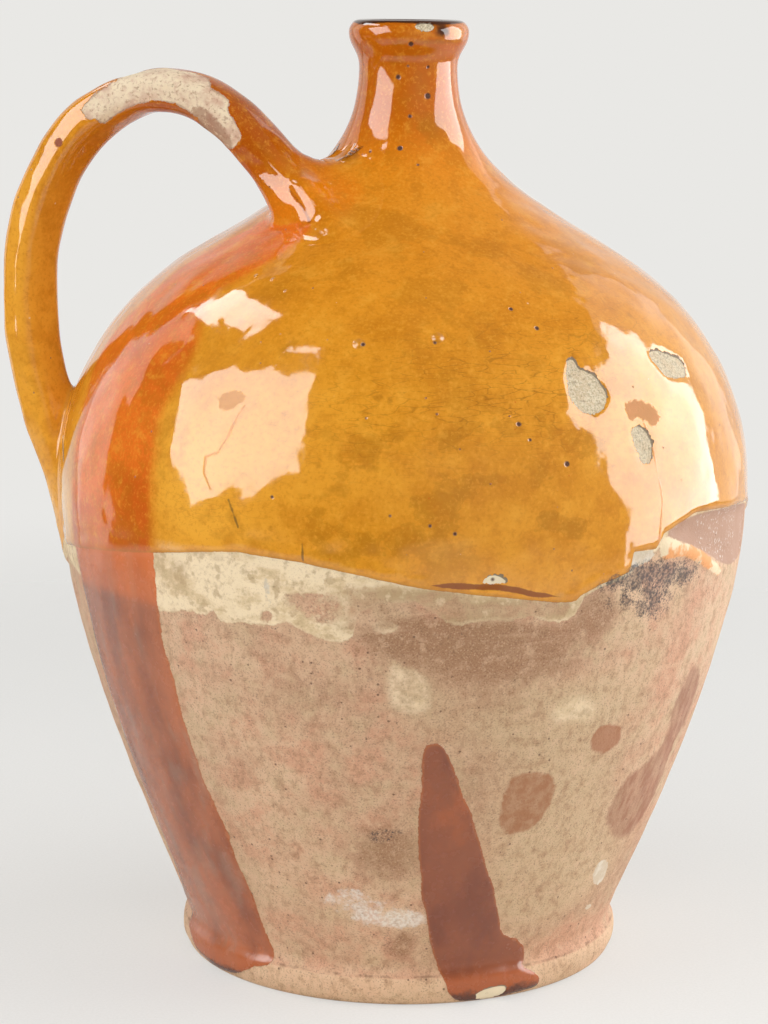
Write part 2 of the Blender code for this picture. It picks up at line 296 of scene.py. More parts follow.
CHIPS = (
    (
        (567, 357), (576, 357), (578, 366), (588, 369), (597, 374), (602, 381), (608, 390), (609, 398),
        (606, 405), (600, 412), (594, 415), (585, 413), (576, 406), (570, 398), (569, 385), (566, 375),
    ),
    (
        (649, 350), (656, 348), (662, 349), (673, 354), (682, 358), (685, 366), (688, 378), (675, 377),
        (666, 377), (659, 367), (651, 358),
    ),
    (
        (637, 422), (645, 426), (651, 435), (654, 444), (653, 459), (647, 466), (641, 459), (637, 450),
        (634, 438), (632, 430),
    ),
)
LIP_CHIP = ((414, 24), (420, 22), (432, 22), (436, 26), (431, 32), (417, 31))
FOOT_CHIP = ((474, 996), (482, 990), (494, 986), (509, 984), (506, 992), (494, 998), (480, 1000))
FACET = (
    (664, 533), (698, 512), (747, 500), (756, 512), (750, 550), (738, 562), (726, 566), (710, 554),
    (694, 545), (675, 540),
)
RIDGE = (
    (660, 537), (668, 536), (684, 542), (700, 548), (716, 560), (726, 572), (720, 578), (708, 569),
    (694, 561), (684, 557), (672, 560), (661, 561),
)
CREAM_PATCH = (
    (392, 660), (386, 676), (387, 700), (393, 712), (412, 716), (428, 713), (433, 700), (430, 688),
    (423, 676), (414, 670), (402, 668),
)
PALE_PATCH = (
    (550, 718), (556, 704), (566, 698), (578, 695), (590, 699), (597, 707), (600, 717), (590, 722),
    (574, 725), (560, 726),
)
RIGHT_STAINS = (
    (
        (697, 664), (702, 678), (696, 700), (688, 722), (680, 736), (671, 738), (670, 718), (678, 700),
        (686, 682),
    ),
    (
        (677, 716), (677, 740), (669, 764), (660, 786), (649, 808), (640, 824), (630, 838), (617, 842),
        (608, 826), (609, 810), (618, 796), (628, 778), (648, 764), (658, 752), (666, 742), (671, 726),
    ),
)
BALD_SPOT = (
    (625, 405), (629, 400), (640, 399), (650, 402), (658, 409), (661, 416), (658, 422), (656, 429),
    (651, 425), (646, 422), (640, 418), (637, 416), (633, 424), (630, 420), (628, 412),
)
FAINT_SPOT = ((217, 400), (222, 392), (234, 390), (245, 393), (246, 399), (238, 404), (230, 410), (220, 411))
FLAKES = (
    ((632, 553), (640, 550), (659, 551), (652, 560), (642, 566), (633, 568)),
    ((598, 866), (607, 860), (611, 866), (606, 880), (598, 887), (593, 880)),
    ((586, 907), (592, 904), (594, 909), (587, 912)),
    ((261, 578), (266, 577), (270, 592), (270, 609), (266, 609), (264, 592)),
)
HANDLE_WEAR = (
    (78, 109), (86, 100), (100, 87), (122, 70), (142, 60), (170, 57), (198, 63), (211, 76), (211, 86),
    (224, 93), (233, 100), (226, 108), (233, 118), (241, 134), (240, 142), (234, 150), (224, 150),
    (208, 136), (194, 121), (187, 112), (177, 105), (158, 101), (138, 105), (128, 110), (116, 118),
    (101, 128), (97, 120), (84, 120), (82, 112),
)
WEAR_STAIN = ((188, 108), (200, 106), (214, 118), (226, 134), (234, 150), (222, 150), (204, 134), (190, 118))
PATCHES = {
    "spot": (LARGE_SPOT,), "stain": RIGHT_STAINS, "mark": (SMALL_SPOT,), "band": (BARE_BAND,),
    "patch": (CREAM_PATCH, PALE_PATCH), "chip": (*CHIPS, LIP_CHIP, FOOT_CHIP, FOLD_CHIP), "facet": (FACET,),
    "ridge": (RIDGE,), "flake": FLAKES, "bald": (BALD_SPOT,), "faint": (FAINT_SPOT,),
}

# Lines in pixels
WARM_EDGE = ((70, 576), (84, 582), (120, 594), (155, 605), (170, 610))
CRACKS = (
    ((645, 424), (652, 440), (658, 470), (663, 500), (661, 522), (659, 545)),
    ((244, 406), (236, 418), (228, 436), (218, 452), (206, 456), (204, 472), (210, 488)),
)
SCRATCHES = (
    ((228, 500), (233, 514), (238, 527)),
    ((302, 544), (303, 562)),
    ((526, 761), (538, 756), (547, 751)),
    ((605, 861), (610, 855), (617, 849)),
    ((522, 884), (528, 883)),
    ((535, 885), (542, 883)),
    ((561, 859), (570, 857), (579, 860)),
)
CREASE = ((236, 150), (252, 166), (275, 178), (288, 190), (301, 206), (309, 221))
ROOT_TAIL = ((304, 186), (318, 206), (331, 226))
HANDLE_NICK = ((61, 436), (62, 448), (62, 460))

# Soft blotches: place in pixels, half width and half height in pixels, strength
BEIGE = (
    (560, 800, 62, 80, 1.0), (520, 720, 70, 36, 0.7), (610, 700, 46, 34, 0.6), (580, 870, 50, 40, 0.7),
    (540, 900, 46, 34, 0.5), (420, 690, 40, 60, 0.5), (280, 890, 50, 40, 0.4), (340, 740, 30, 60, 0.3),
)
BROWN = (
    (480, 655, 80, 34, 0.8), (600, 610, 26, 26, 1.1), (400, 640, 34, 30, 0.6), (390, 850, 46, 26, 0.6),
    (360, 960, 60, 18, 0.35), (300, 690, 60, 30, 0.25), (500, 700, 60, 40, 0.4), (385, 868, 50, 36, 0.5),
    (392, 800, 34, 50, 0.2), (560, 660, 50, 24, 0.45), (420, 930, 24, 26, 0.5), (401, 946, 10, 12, 0.8),
    (575, 964, 46, 14, 0.9), (560, 986, 60, 7, 0.6),
    (470, 637, 90, 12, 0.8), (420, 634, 40, 10, 0.9), (300, 700, 70, 34, 0.40), (250, 765, 44, 40, 0.40),
    (560, 884, 44, 30, 0.40), (300, 862, 30, 24, 0.25),
)
ROSE = (
    (570, 940, 70, 26, 0.8), (330, 985, 90, 14, 0.5), (300, 760, 70, 60, 0.4), (660, 690, 34, 44, 0.6),
    (690, 610, 26, 40, 0.6), (400, 980, 70, 14, 0.5), (310, 612, 26, 14, 0.6), (590, 950, 40, 30, 0.9),
)
SOOT = (
    (640, 574, 14, 8, 1.3), (668, 570, 22, 10, 1.1), (657, 590, 28, 16, 0.9), (690, 572, 14, 8, 0.7),
    (655, 611, 13, 12, 0.7), (614, 582, 13, 6, 0.9), (400, 833, 13, 3, 0.7), (381, 838, 13, 7, 0.6),
    (392, 943, 16, 12, 0.3), (606, 604, 20, 16, 0.2),
)
CHALK_DUST = (
    (334, 902, 18, 7, 0.9), (352, 895, 16, 6, 0.8), (376, 904, 22, 5, 0.6), (386, 921, 34, 9, 1.1),
    (411, 920, 15, 9, 1.0), (360, 914, 18, 8, 0.7), (330, 690, 20, 26, 0.2), (372, 690, 14, 20, 0.35),
)
PITTED = ((285, 866, 44, 24, 1.0), (360, 716, 60, 44, 0.8), (230, 690, 44, 44, 0.5), (470, 740, 34, 14, 0.7))
CLOUDS = (
    (432, 512, 34, 24, 0.8), (535, 524, 22, 18, 0.7), (583, 516, 26, 18, 0.7), (506, 424, 22, 16, 0.8),
    (478, 446, 70, 16, 0.6), (384, 444, 36, 16, 0.5), (470, 484, 40, 18, 0.5), (350, 474, 30, 14, 0.3),
    (590, 406, 14, 10, 0.5), (560, 482, 30, 20, 0.5), (545, 428, 34, 16, 0.7), (600, 450, 20, 20, 0.6),
    (250, 330, 40, 20, 0.4), (426, 128, 16, 10, 0.35), (300, 520, 50, 26, 0.45), (400, 550, 60, 20, 0.35),
    (432, 42, 30, 4, 0.8), (640, 532, 10, 10, 0.3), (330, 540, 50, 10, 0.25), (610, 470, 20, 14, 0.5),
)
CRAZED = ((500, 390, 130, 60, 1.0), (330, 430, 60, 50, 0.4), (600, 320, 60, 40, 0.5), (210, 500, 50, 30, 0.5))
DENTS = ((233, 400, 14, 10, 0.5), (642, 409, 16, 8, 0.6), (505, 330, 40, 20, 0.3))
# Paler golden glaze round the two window highlights, partly painted sheen
GOLD_AND_SHEEN_BLOTCHES = ((185, 490, 40, 60, 1.0), (225, 530, 50, 20, 0.6), (250, 440, 90, 70, 0.5), (640, 400, 60, 60, 0.5))
DUSK = (
    (500, 612, 90, 14, 1.2), (420, 600, 46, 12, 0.9), (345, 628, 30, 14, 0.6), (178, 569, 8, 9, 0.9),
    (217, 558, 10, 6, 0.8), (370, 600, 40, 16, 0.8), (300, 600, 30, 16, 0.3),
)
ROOT_GLOW = ((322, 212, 26, 26, 1.1), (345, 196, 26, 22, 0.8))
THIN_SLIP = (
    (364, 612, 24, 20, 1.2), (382, 628, 20, 10, 0.9), (310, 606, 30, 12, 0.5), (500, 612, 80, 12, 0.75),
    (430, 606, 40, 16, 0.6), (545, 610, 16, 8, 0.6),
)
# Pale cream in the glaze, partly a painted highlight, as along the handle's lower tail at the body's edge
CREAM_AND_HIGHLIGHT_BLOTCHES = ((64, 508, 12, 34, 1.0), (170, 546, 26, 8, 0.6), (560, 596, 14, 6, 0.5))
LIP_BURNS = ((367, 20, 10, 6, 2.0), (400, 19, 40, 2, 0.6), (443, 31, 9, 7, 1.0), (440, 22, 24, 2, 0.7))
BLOTCHES = {
    "beige": BEIGE, "brown": BROWN, "rose": ROSE, "soot": SOOT, "cloud": CLOUDS, "craze": CRAZED,
    "burn": LIP_BURNS, "chalk": CHALK_DUST, "pitted": PITTED, "gold_and_sheen": GOLD_AND_SHEEN_BLOTCHES, "dusk": DUSK,
    "thin": THIN_SLIP, "cream_and_highlight": CREAM_AND_HIGHLIGHT_BLOTCHES,
}

# Dots: place in pixels and radius in millimetres
PIMPLES = ((359, 343, 2.6), (438, 337, 2.7), (256, 275, 1.2), (273, 279, 1.2), (286, 291, 1.0))
HANDLE_BLOTS = ((57, 142, 2.1),)
# Pinholes, and at (363, 344) and (435, 342) two dark dots that are painted shade on the sides of the large
# pimples
PINHOLES_AND_PIMPLE_SHADE = (
    (411, 44, 1.0), (408, 66, 0.6), (428, 67, 0.6), (398, 77, 1.0), (428, 96, 1.2), (410, 116, 0.8),
    (400, 148, 1.1), (370, 151, 0.6), (331, 223, 0.9), (567, 464, 1.0), (537, 328, 0.9), (530, 440, 0.6),
    (455, 534, 0.7), (437, 414, 0.5), (272, 497, 0.6), (493, 580, 0.9), (418, 165, 0.5), (363, 344, 0.9),
    (435, 342, 0.8), (511, 309, 0.8), (519, 424, 0.9), (366, 418, 0.5), (390, 516, 0.6), (430, 526, 0.6),
)

# The unseen side, as degrees round from the camera and height in metres
BACK_GLAZE_EDGE = (
    (92, 0.176), (108, 0.166), (128, 0.171), (150, 0.158), (172, 0.164), (196, 0.155), (222, 0.168),
    (246, 0.162), (268, 0.170), (284, 0.168),
)
BACK_SLIP_EDGE = (
    (92, 0.178), (108, 0.158), (128, 0.160), (150, 0.146), (172, 0.150), (196, 0.141), (222, 0.155),
    (246, 0.152), (268, 0.160), (284, 0.160),
)
BACK_RUNS = (
    ((146, 0.170), (152, 0.172), (155, 0.120), (157, 0.070), (155, 0.052), (150, 0.048), (146, 0.056),
     (144, 0.080), (144, 0.125)),
    ((214, 0.176), (226, 0.178), (228, 0.130), (226, 0.098), (222, 0.090), (217, 0.096), (214, 0.130)),
    ((176, 0.060), (182, 0.066), (187, 0.058), (184, 0.046), (178, 0.046)),
)

# What changes up the body: strength, and the heights in metres where it starts and is full. WARM_RISES_MM has
# millimetres above WARM_EDGE, and LEFT_SIDE_TURNS radians from the camera's side.
TONE_RISES = ((0.40, 0.235, 0.300), (0.60, 0.300, 0.335))
DEEP_RISES = ((0.62, 0.312, 0.338),)
CROWN_BURN_RISES = ((0.9, 0.3686, 0.3698),)
WARM_RISES_BEHIND = ((1.0, 0.15, 0.17),)
WARM_RISES_MM = ((0.40, -2.5, 2.5), (0.60, 3.0, 40.0))
LEFT_SIDE_TURNS = (-0.75, -0.35)

# What changes along the handle: first and last value, and the shares of its length between which it changes
# cream_and_highlight pales the handle's lower tail, partly as a painted highlight along its edge
HANDLE_CHANGES = {
    # gold_and_sheen pales the handle's left limb that carries the long highlight, partly as painted sheen
    "fold": (0.0, FAR, 0.20, 0.30), "cream_and_highlight": (0.9, 0.0, 0.05, 0.17), "gold_and_sheen": (0.75, 0.0, 0.45, 0.60),
    "tone": (0.06, 1.0, 0.55, 0.80),
}
# Deep colour: strength, the shares where it starts, and where it ends or how far it turns to the inner side
DEEP_MIDDLE = (0.95, (0.62, 0.74), (0.88, 0.98))
# On the handle's inner side the deep colour is painted shade
DEEP_INSIDE = (0.35, (0.3, 0.6), (0.2, 0.9))
WEAR_STAIN_EDGE = (-1.5, 1.5)
TWIST_CHANGE = (0.55, 0.85)

# Relief by field: millimetres inside the edge where it starts and is full, and its height in metres
COAT_RELIEF = (("run", -0.4, 1.8, RUN_COAT), ("slip", -0.5, 0.8, SLIP_COAT))
MARK_RELIEF = (
    ("chip", -0.4, 0.8, -CHIP_DEPTH), ("facet", -1.0, 4.0, -FACET_DEPTH), ("ridge", 0.0, 2.0, RIDGE_RISE),
    ("flake", -0.4, 0.6, FLAKE_COAT),
)
GLAZE_RELIEF = (-0.6, 1.6)
WEAR_RELIEF = (-0.3, 1.0)

# Colours as the eye reads them, red, green and blue of 255
CLAY = (200, 160, 127)
CLAY_PALE = (216, 180, 145)
CLAY_BEIGE = (202, 174, 136)
CLAY_BROWN = (158, 117, 84)
CLAY_ROSE = (206, 154, 122)
CLAY_DARK = (108, 76, 54)
CLAY_FOOT = (222, 190, 152)
SLIP_CREAM = (216, 190, 148)
SLIP_PALE = (236, 214, 177)
SLIP_GREY = (176, 147, 106)
RUN_BROWN = (142, 76, 44)
RUN_PALE = (196, 116, 76)
RUN_GREY = (158, 130, 112)
RUN_DARK = (120, 60, 36)
RUN_ORANGE = (178, 92, 44)
RUN_BLACK = (70, 34, 18)
RUN_RIM = (190, 112, 52)
SPOT_TAN = (162, 108, 72)
STAIN_RED = (150, 96, 68)
SPOT_BROWN = (160, 98, 62)
HONEY = (225, 152, 42)
HONEY_DEEP = (211, 138, 32)
HONEY_PALE = (236, 168, 58)
HONEY_SHADE = (188, 112, 18)
AMBER = (224, 126, 18)
DEEP_AMBER = (172, 78, 6)
ORANGE = (230, 114, 32)
ORANGE_DEEP = (204, 92, 22)
CLOUD_BROWN = (162, 102, 14)
# Painted shade in the grooves of the glaze's fold and of the handle's crease
GROOVE_SHADE_RED = (128, 58, 18)
CRAZE_BROWN = (140, 84, 18)
CRACK_BROWN = (206, 124, 66)
CHIP_GREY = (220, 205, 176)
CHIP_SAND = (178, 160, 128)
CHIP_CREAM = (234, 218, 186)
CHIP_DARK = (92, 70, 44)
FACET_MAUVE = (176, 136, 112)
WEAR_GREY = (228, 208, 176)
WEAR_ROSE = (202, 164, 138)
WEAR_DARK = (146, 98, 66)
SOOT_BLACK = (46, 46, 54)
CHALK = (232, 224, 212)
FLAKE_GREY = (206, 188, 162)
PIN_BROWN = (72, 36, 12)
SPECK_BROWN = (120, 66, 22)
BALD_BROWN = (190, 130, 74)
FAINT_TAN = (196, 132, 76)
BLOT_BROWN = (142, 66, 24)
GLAZE_CREAM_AND_HIGHLIGHT = (246, 196, 128)
RIDGE_ORANGE = (232, 160, 96)
FLOOR_PALE = (241, 240, 238)
BACKDROP = (233, 232, 229)


def paint(colour):
    """A colour of 255 as the eye reads it, as the light that a shader takes."""
    parts = [c / 255 for c in colour]
    light = [p / 12.92 if p <= 0.04045 else ((p + 0.055) / 1.055) ** 2.4 for p in parts]
    return (*light, 1.0)


def camera_axes():
    """Right, up and forward of the camera."""
    forward = np.array([0.0, math.cos(CAMERA_PITCH), -math.sin(CAMERA_PITCH)])
    level_up = np.array([0.0, math.sin(CAMERA_PITCH), math.cos(CAMERA_PITCH)])
    level_right = np.array([1.0, 0.0, 0.0])
    cos, sin = math.cos(CAMERA_ROLL), math.sin(CAMERA_ROLL)
    return level_right * cos + level_up * sin, level_up * cos - level_right * sin, forward


RIGHT, UPWARD, FORWARD = camera_axes()


def to_pixels(points):
    """Where points fall in the photograph's frame."""
    ahead = points - CAMERA_PLACE
    depth = ahead @ FORWARD
    across = FRAME_WIDTH / 2 + FOCAL_PIXELS * (ahead @ RIGHT) / depth
    down = FRAME_HEIGHT / 2 - FOCAL_PIXELS * (ahead @ UPWARD) / depth
    return np.stack([across, down], axis=-1)


def pixel_rays(pixels):
    """The directions in which pixels look, one metre deep."""
    pixels = np.asarray(pixels, float)
    across = (pixels[:, 0] - FRAME_WIDTH / 2) / FOCAL_PIXELS
    down = (pixels[:, 1] - FRAME_HEIGHT / 2) / FOCAL_PIXELS
    return FORWARD + across[:, None] * RIGHT - down[:, None] * UPWARD


def first_met(pixels, distance, steps):
    """Where the rays of pixels first meet the surface that a distance tells of, or come nearest to it."""
    depths = np.linspace(RAY_NEAR, RAY_FAR, steps)
    found = []
    for ray in pixel_rays(pixels):
        points = CAMERA_PLACE + depths[:, None] * ray
        within = (points[:, 2] >= 0) & (points[:, 2] <= JUG_HEIGHT)
        gap = np.where(within, distance(points), 1.0)
        met = gap <= 0
        found.append(points[met.argmax() if met.any() else gap.argmin()])
    return np.array(found)


def smooth(value, low, high):
    """An eased step from 0 at low to 1 at high."""
    t = np.clip((value - low) / (high - low), 0.0, 1.0)
    return t * t * (3 - 2 * t)


def waves(points, length, seed, count=28):
    """Even random swells of about one wavelength, between about -1 and 1."""
    chance = np.random.default_rng(seed)
    total = np.zeros(points.shape[:-1])
    for _ in range(count):
        way = chance.normal(size=3)
        way *= 2 * math.pi / length / np.linalg.norm(way) * chance.uniform(*WAVE_SPREAD)
        total += np.sin(points @ way + chance.uniform(0, 2 * math.pi))
    return total / math.sqrt(count)


def swells(points, rows):
    """Waves of several heights, lengths and seeds together."""
    return sum(height * waves(points, length, seed) for height, length, seed in rows)


def rises(value, rows):
    """Eased steps on top of one another, each with a strength, start and end."""
    return sum(strength * smooth(value, low, high) for strength, low, high in rows)


def unit(vectors):
    """Vectors made one long."""
    return vectors / np.linalg.norm(vectors, axis=-1)[..., None]


def leaning(angle):
    """A flat direction at an angle from upright."""
    return np.array([math.sin(angle), math.cos(angle)])


def bezier(start, start_handle, end_handle, end, count=CURVE_SAMPLES):
    """Points along a cubic curve with a tangent handle at each end."""
    start, end = np.asarray(start, float), np.asarray(end, float)
    out, back = start + start_handle, end - end_handle
    t = np.linspace(0, 1, count)[:, None]
    s = 1 - t
    return s**3 * start + 3 * s * s * t * out + 3 * s * t * t * back + t**3 * end


def quarter_round(centre, first, second, count=CURVE_SAMPLES):
    turn = np.linspace(0, math.pi / 2, count)[:, None]
    return np.asarray(centre) + np.asarray(first) * np.cos(turn) + np.asarray(second) * np.sin(turn)


def run_lengths(line):
    return np.concatenate([[0.0], np.cumsum(np.linalg.norm(np.diff(line, axis=0), axis=1))])


def outer_line():
    """Radius and height up the outside, from the edge of the flat underside to the crown."""
    up, out = np.array([0.0, 1.0]), np.array([1.0, 0.0])
    pinch, belly = (PINCH_RADIUS, FOOT_HEIGHT), (BELLY_RADIUS, BELLY_LEVEL)
    shoulder, waist = (SHOULDER_RADIUS, SHOULDER_LEVEL), (NECK_RADIUS, WAIST_LEVEL)
    roll, lip = (FOOT_RADIUS, FOOT_ROLL_LEVEL), (LIP_RADIUS, LIP_LEVEL)
    under = quarter_round(
        (FOOT_FLAT_RADIUS, FOOT_ROLL_LEVEL), -up * FOOT_ROLL_LEVEL, out * (FOOT_RADIUS - FOOT_FLAT_RADIUS)
    )
    lean_in = leaning(-SHOULDER_LEAN)
    parts = (
        under,
        bezier(roll, up * FOOT_ROLL_PULL, leaning(-WALL_LEAN) * PINCH_PULL, pinch),
        bezier(pinch, leaning(WALL_LEAN) * WALL_PULL, up * BELLY_PULL_DOWN, belly),
        bezier(belly, up * BELLY_PULL_UP, lean_in * SHOULDER_PULL_DOWN, shoulder),
        bezier(shoulder, lean_in * SHOULDER_PULL_UP, up * NECK_PULL, waist),
        bezier(waist, up * LIP_PULL, up * LIP_PULL, lip),
        quarter_round(
            (LIP_RADIUS - CROWN_INSET, LIP_LEVEL), out * CROWN_INSET, up * (JUG_HEIGHT - LIP_LEVEL)
        ),
    )
    return np.vstack([parts[0]] + [part[1:] for part in parts[1:]])


OUTER = outer_line()
OUTER_LENGTH = run_lengths(OUTER)


def body_radius(height):
    return np.interp(height, OUTER[:, 1], OUTER[:, 0])


def length_at(height):
    """How far up the outer line a height is."""
    return np.interp(height, OUTER[:, 1], OUTER_LENGTH)


def wall_gap(points):
    """How far points are outside the turned body, measured level."""
    return np.hypot(points[:, 0], points[:, 1]) - body_radius(points[:, 2])


def unrolled(pixels):
    """Turn from the camera's side and length up the wall, of the places that pixels show."""
    place = first_met(pixels, wall_gap, WALL_RAY_STEPS)
    turn = np.arctan2(place[:, 0], -place[:, 1])
    return np.stack([turn, length_at(place[:, 2])], axis=1)


def rounded(outline, times=2):
    """A closed outline with its corners cut."""
    for _ in range(times):
        after = np.roll(outline, -1, axis=0)
        outline = np.stack([0.75 * outline + 0.25 * after, 0.25 * outline + 0.75 * after], axis=1)
        outline = outline.reshape(-1, 2)
    return outline


def signed_distance(outline, points):
    """Distance of points from a closed outline, above zero inside it."""
    nearest = np.full(len(points), np.inf)
    inside = np.zeros(len(points), bool)
    for start, end in zip(outline, np.roll(outline, -1, axis=0)):
        side, away = end - start, points - start
        share = np.clip(away @ side / max(side @ side, TINY), 0, 1)
        nearest = np.minimum(nearest, ((away - share[:, None] * side) ** 2).sum(axis=1))
        crosses = (start[1] > points[:, 1]) != (end[1] > points[:, 1])
        rise = end[1] - start[1] if end[1] != start[1] else TINY
        inside ^= crosses & (points[:, 0] < start[0] + side[0] * (points[:, 1] - start[1]) / rise)
    return np.where(inside, 1, -1) * np.sqrt(nearest)


class Wall:
    """The unrolled outside of the body, on which the photograph's outlines are laid."""

    def __init__(self, turn, length):
        self.turn, self.length = turn, length
        self.flat = np.stack([turn * ROLL_RADIUS, length], axis=-1).reshape(-1, 2)

    def patch(self, outline):
        """Millimetres inside an outline of (turn, length)."""
        line = rounded(np.asarray(outline) * (ROLL_RADIUS, 1.0))
        room = FAR / 1000
        near = ((self.flat > line.min(axis=0) - room) & (self.flat < line.max(axis=0) + room)).all(axis=1)
        field = np.full(len(self.flat), -FAR)
        field[near] = np.clip(signed_distance(line, self.flat[near]) * 1000, -FAR, FAR)
        return field.reshape(self.turn.shape)

    def seen(self, *outlines, shift=(0.0, 0.0)):
        """Millimetres inside any of some outlines in pixels, shifted by metres across and up the wall."""
        move = np.array([shift[0] / ROLL_RADIUS, shift[1]])
        return np.max([self.patch(unrolled(outline) + move) for outline in outlines], axis=0)

    def behind(self, *outlines):
        """Millimetres inside any of some outlines in degrees and heights, on the unseen side."""
        fields = []
        for outline in outlines:
            turn, height = np.radians([p[0] for p in outline]), np.array([p[1] for p in outline])
            turn = turn - 2 * math.pi * (turn.mean() > math.pi)
            fields.append(self.patch(np.stack([turn, length_at(height)], axis=1)))
        return np.max(fields, axis=0)

    def above(self, edge, back):
        """Millimetres above an edge in pixels, which goes on round the back in degrees and heights."""
        line = unrolled(edge)
        turns = np.radians([p[0] for p in back])
        lengths = length_at(np.array([p[1] for p in back]))
        turns = np.concatenate([turns - 2 * math.pi, line[:, 0], turns])
        lengths = np.concatenate([lengths, line[:, 1], lengths])
        turns = np.maximum.accumulate(turns + np.arange(len(turns)) * TURN_NUDGE)
        return (self.length - np.interp(self.turn, turns, lengths)) * 1000

    def soft(self, blobs):
        """A sum of soft blotches given in pixels."""
        total = np.zeros(self.turn.shape)
        for across, down, half_width, half_height, strength in blobs:
            ends = unrolled([
                (across, down), (across - half_width, down), (across + half_width, down),
                (across, down - half_height), (across, down + half_height),
            ])
            wide = max(abs(ends[2, 0] - ends[1, 0]) / 2, BLOTCH_MIN_TURN)
            tall = max(abs(ends[3, 1] - ends[4, 1]) / 2, BLOTCH_MIN_LENGTH)
            away = ((self.turn - ends[0, 0]) / wide) ** 2 + ((self.length - ends[0, 1]) / tall) ** 2
            total += strength * np.exp(-away)
        return total

    def window(self, pixels):
        """A rise and fall round the wall, between the turns of four pixels."""
        turns = unrolled(pixels)[:, 0]
        return smooth(self.turn, turns[0], turns[1]) * (1 - smooth(self.turn, turns[2], turns[3]))


class HandleShape:
    """The handle's centre line and oval section, and how far points are from its surface."""

    def __init__(self):
        upper_level = SHOULDER_LEVEL + UPPER_ROOT_RISE
        self.origin = self.on_plan(BELLY_RADIUS, LOWER_ROOT_AZIMUTH)
        span = self.on_plan(body_radius(upper_level), UPPER_ROOT_AZIMUTH) - self.origin
        yaw = math.atan2(span[1], span[0])
        self.along_axis = np.array([math.cos(yaw), math.sin(yaw), 0.0])
        self.side_axis = np.array([-math.sin(yaw), math.cos(yaw), 0.0])
        upper = np.array([np.linalg.norm(span), upper_level])
        into = leaning(math.pi - UPPER_ROOT_LEAN)
        up, out = np.array([0.0, 1.0]), np.array([1.0, 0.0])
        tail = np.array([LOWER_TAIL_DEPTH, BELLY_LEVEL - LOWER_TAIL_LENGTH])
        bend = np.array([-HANDLE_REACH, BELLY_LEVEL + HANDLE_BEND_RISE])
        arch = upper + np.array([-HANDLE_ARCH_SETBACK, HANDLE_ARCH_RISE])
        end = upper + into * UPPER_ROOT_DEPTH
        line = np.vstack([
            bezier(tail, leaning(-LOWER_TAIL_LEAN) * LOWER_TAIL_PULL, up * HANDLE_BEND_PULL_DOWN, bend),
            bezier(bend, up * HANDLE_BEND_PULL_UP, out * HANDLE_ARCH_PULL_OUT, arch)[1:],
            bezier(arch, out * HANDLE_ARCH_PULL_IN, into * UPPER_ROOT_PULL, end)[1:],
        ])
        lengths = run_lengths(line)
        self.total = lengths[-1]
        self.length = np.linspace(0, self.total, HANDLE_RINGS)
        self.line = np.stack([np.interp(self.length, lengths, line[:, i]) for i in (0, 1)], axis=1)
        slope = np.gradient(self.line, axis=0)
        self.tangent = unit(slope)
        self.outward = np.stack([-self.tangent[:, 1], self.tangent[:, 0]], axis=1)
        self.scale = self.section_scale()
        share = smooth(self.length / self.total, *TWIST_CHANGE)
        self.twist = LIMB_TWIST + (ROOT_TWIST - LIMB_TWIST) * share
        self.lengthen()

    @staticmethod
    def on_plan(radius, azimuth):
        return np.array([math.cos(azimuth), math.sin(azimuth)]) * radius

    def section_scale(self):
        lower = smooth(self.length, 0.0, LOWER_ROOT_LENGTH)
        upper = smooth(self.length, self.total - UPPER_ROOT_LENGTH, self.total)
        return (
            LOWER_ROOT_TAPER_RATIO + (1 - LOWER_ROOT_TAPER_RATIO) * lower
            + (UPPER_ROOT_FLARE_RATIO - 1) * upper
        )

    def lengthen(self):
        """Carry the upper end straight on into the body, so that all of its oval goes in."""
        more = np.arange(1, BURIED_RINGS + 1) * self.total / HANDLE_RINGS
        self.line = np.vstack([self.line, self.line[-1] + more[:, None] * self.tangent[-1]])
        self.length = np.concatenate([self.length, self.total + more])
        for name in ("tangent", "outward", "scale", "twist"):
            values = getattr(self, name)
            setattr(self, name, np.concatenate([values, np.repeat(values[-1:], BURIED_RINGS, axis=0)]))

    def to_world(self, flat, side):
        """Points at (along, level) in the handle's plane, moved sideways out of it."""
        middle = np.array([*self.origin, 0.0]) + flat[..., :1] * self.along_axis + flat[..., 1:] * (0, 0, 1.0)
        return middle + side[..., None] * self.side_axis

    def measure(self, points):
        """About how far points are outside the handle, and how far to its outer side in half thicknesses."""
        away = points - np.array([*self.origin, 0.0])
        flat = np.stack([away @ self.along_axis, points[:, 2]], axis=1)
        side = away @ self.side_axis
        near = ((flat[:, None, :] - self.line[None]) ** 2).sum(axis=2).argmin(axis=1)
        level = ((flat - self.line[near]) * self.outward[near]).sum(axis=1)
        cos, sin = np.cos(self.twist[near]), np.sin(self.twist[near])
        offset = level * cos + side * sin
        side = side * cos - level * sin
        beyond = ((flat - self.line[near]) * self.tangent[near]).sum(axis=1)
        thick = HANDLE_THICKNESS / 2 * self.scale[near]
        wide = HANDLE_WIDTH / 2 * self.scale[near]
        power = HANDLE_SQUARENESS
        over, across = np.abs(offset) / thick, np.abs(side) / wide
        reach = (over**power + across**power) ** (1 / power) + SMALL
        pull = np.hypot(over ** (power - 1) / thick, across ** (power - 1) / wide)
        gap = (reach - 1) / (pull * reach ** (1 - power) + SMALL)
        ends = (near == 0) | (near == len(self.line) - 1)
        return np.where(ends, np.hypot(beyond, np.maximum(gap, 0)), gap), offset / thick

    def distance(self, points):
        return self.measure(points)[0]


HANDLE = HandleShape()


def body_distance(points):
    """About how far points are outside the turned body."""
    height = np.clip(points[:, 2], 0.0, JUG_HEIGHT)
    slope = (body_radius(height + SLOPE_STEP) - body_radius(height - SLOPE_STEP)) / (2 * SLOPE_STEP)
    return (np.hypot(points[:, 0], points[:, 1]) - body_radius(height)) / np.sqrt(1 + slope**2)


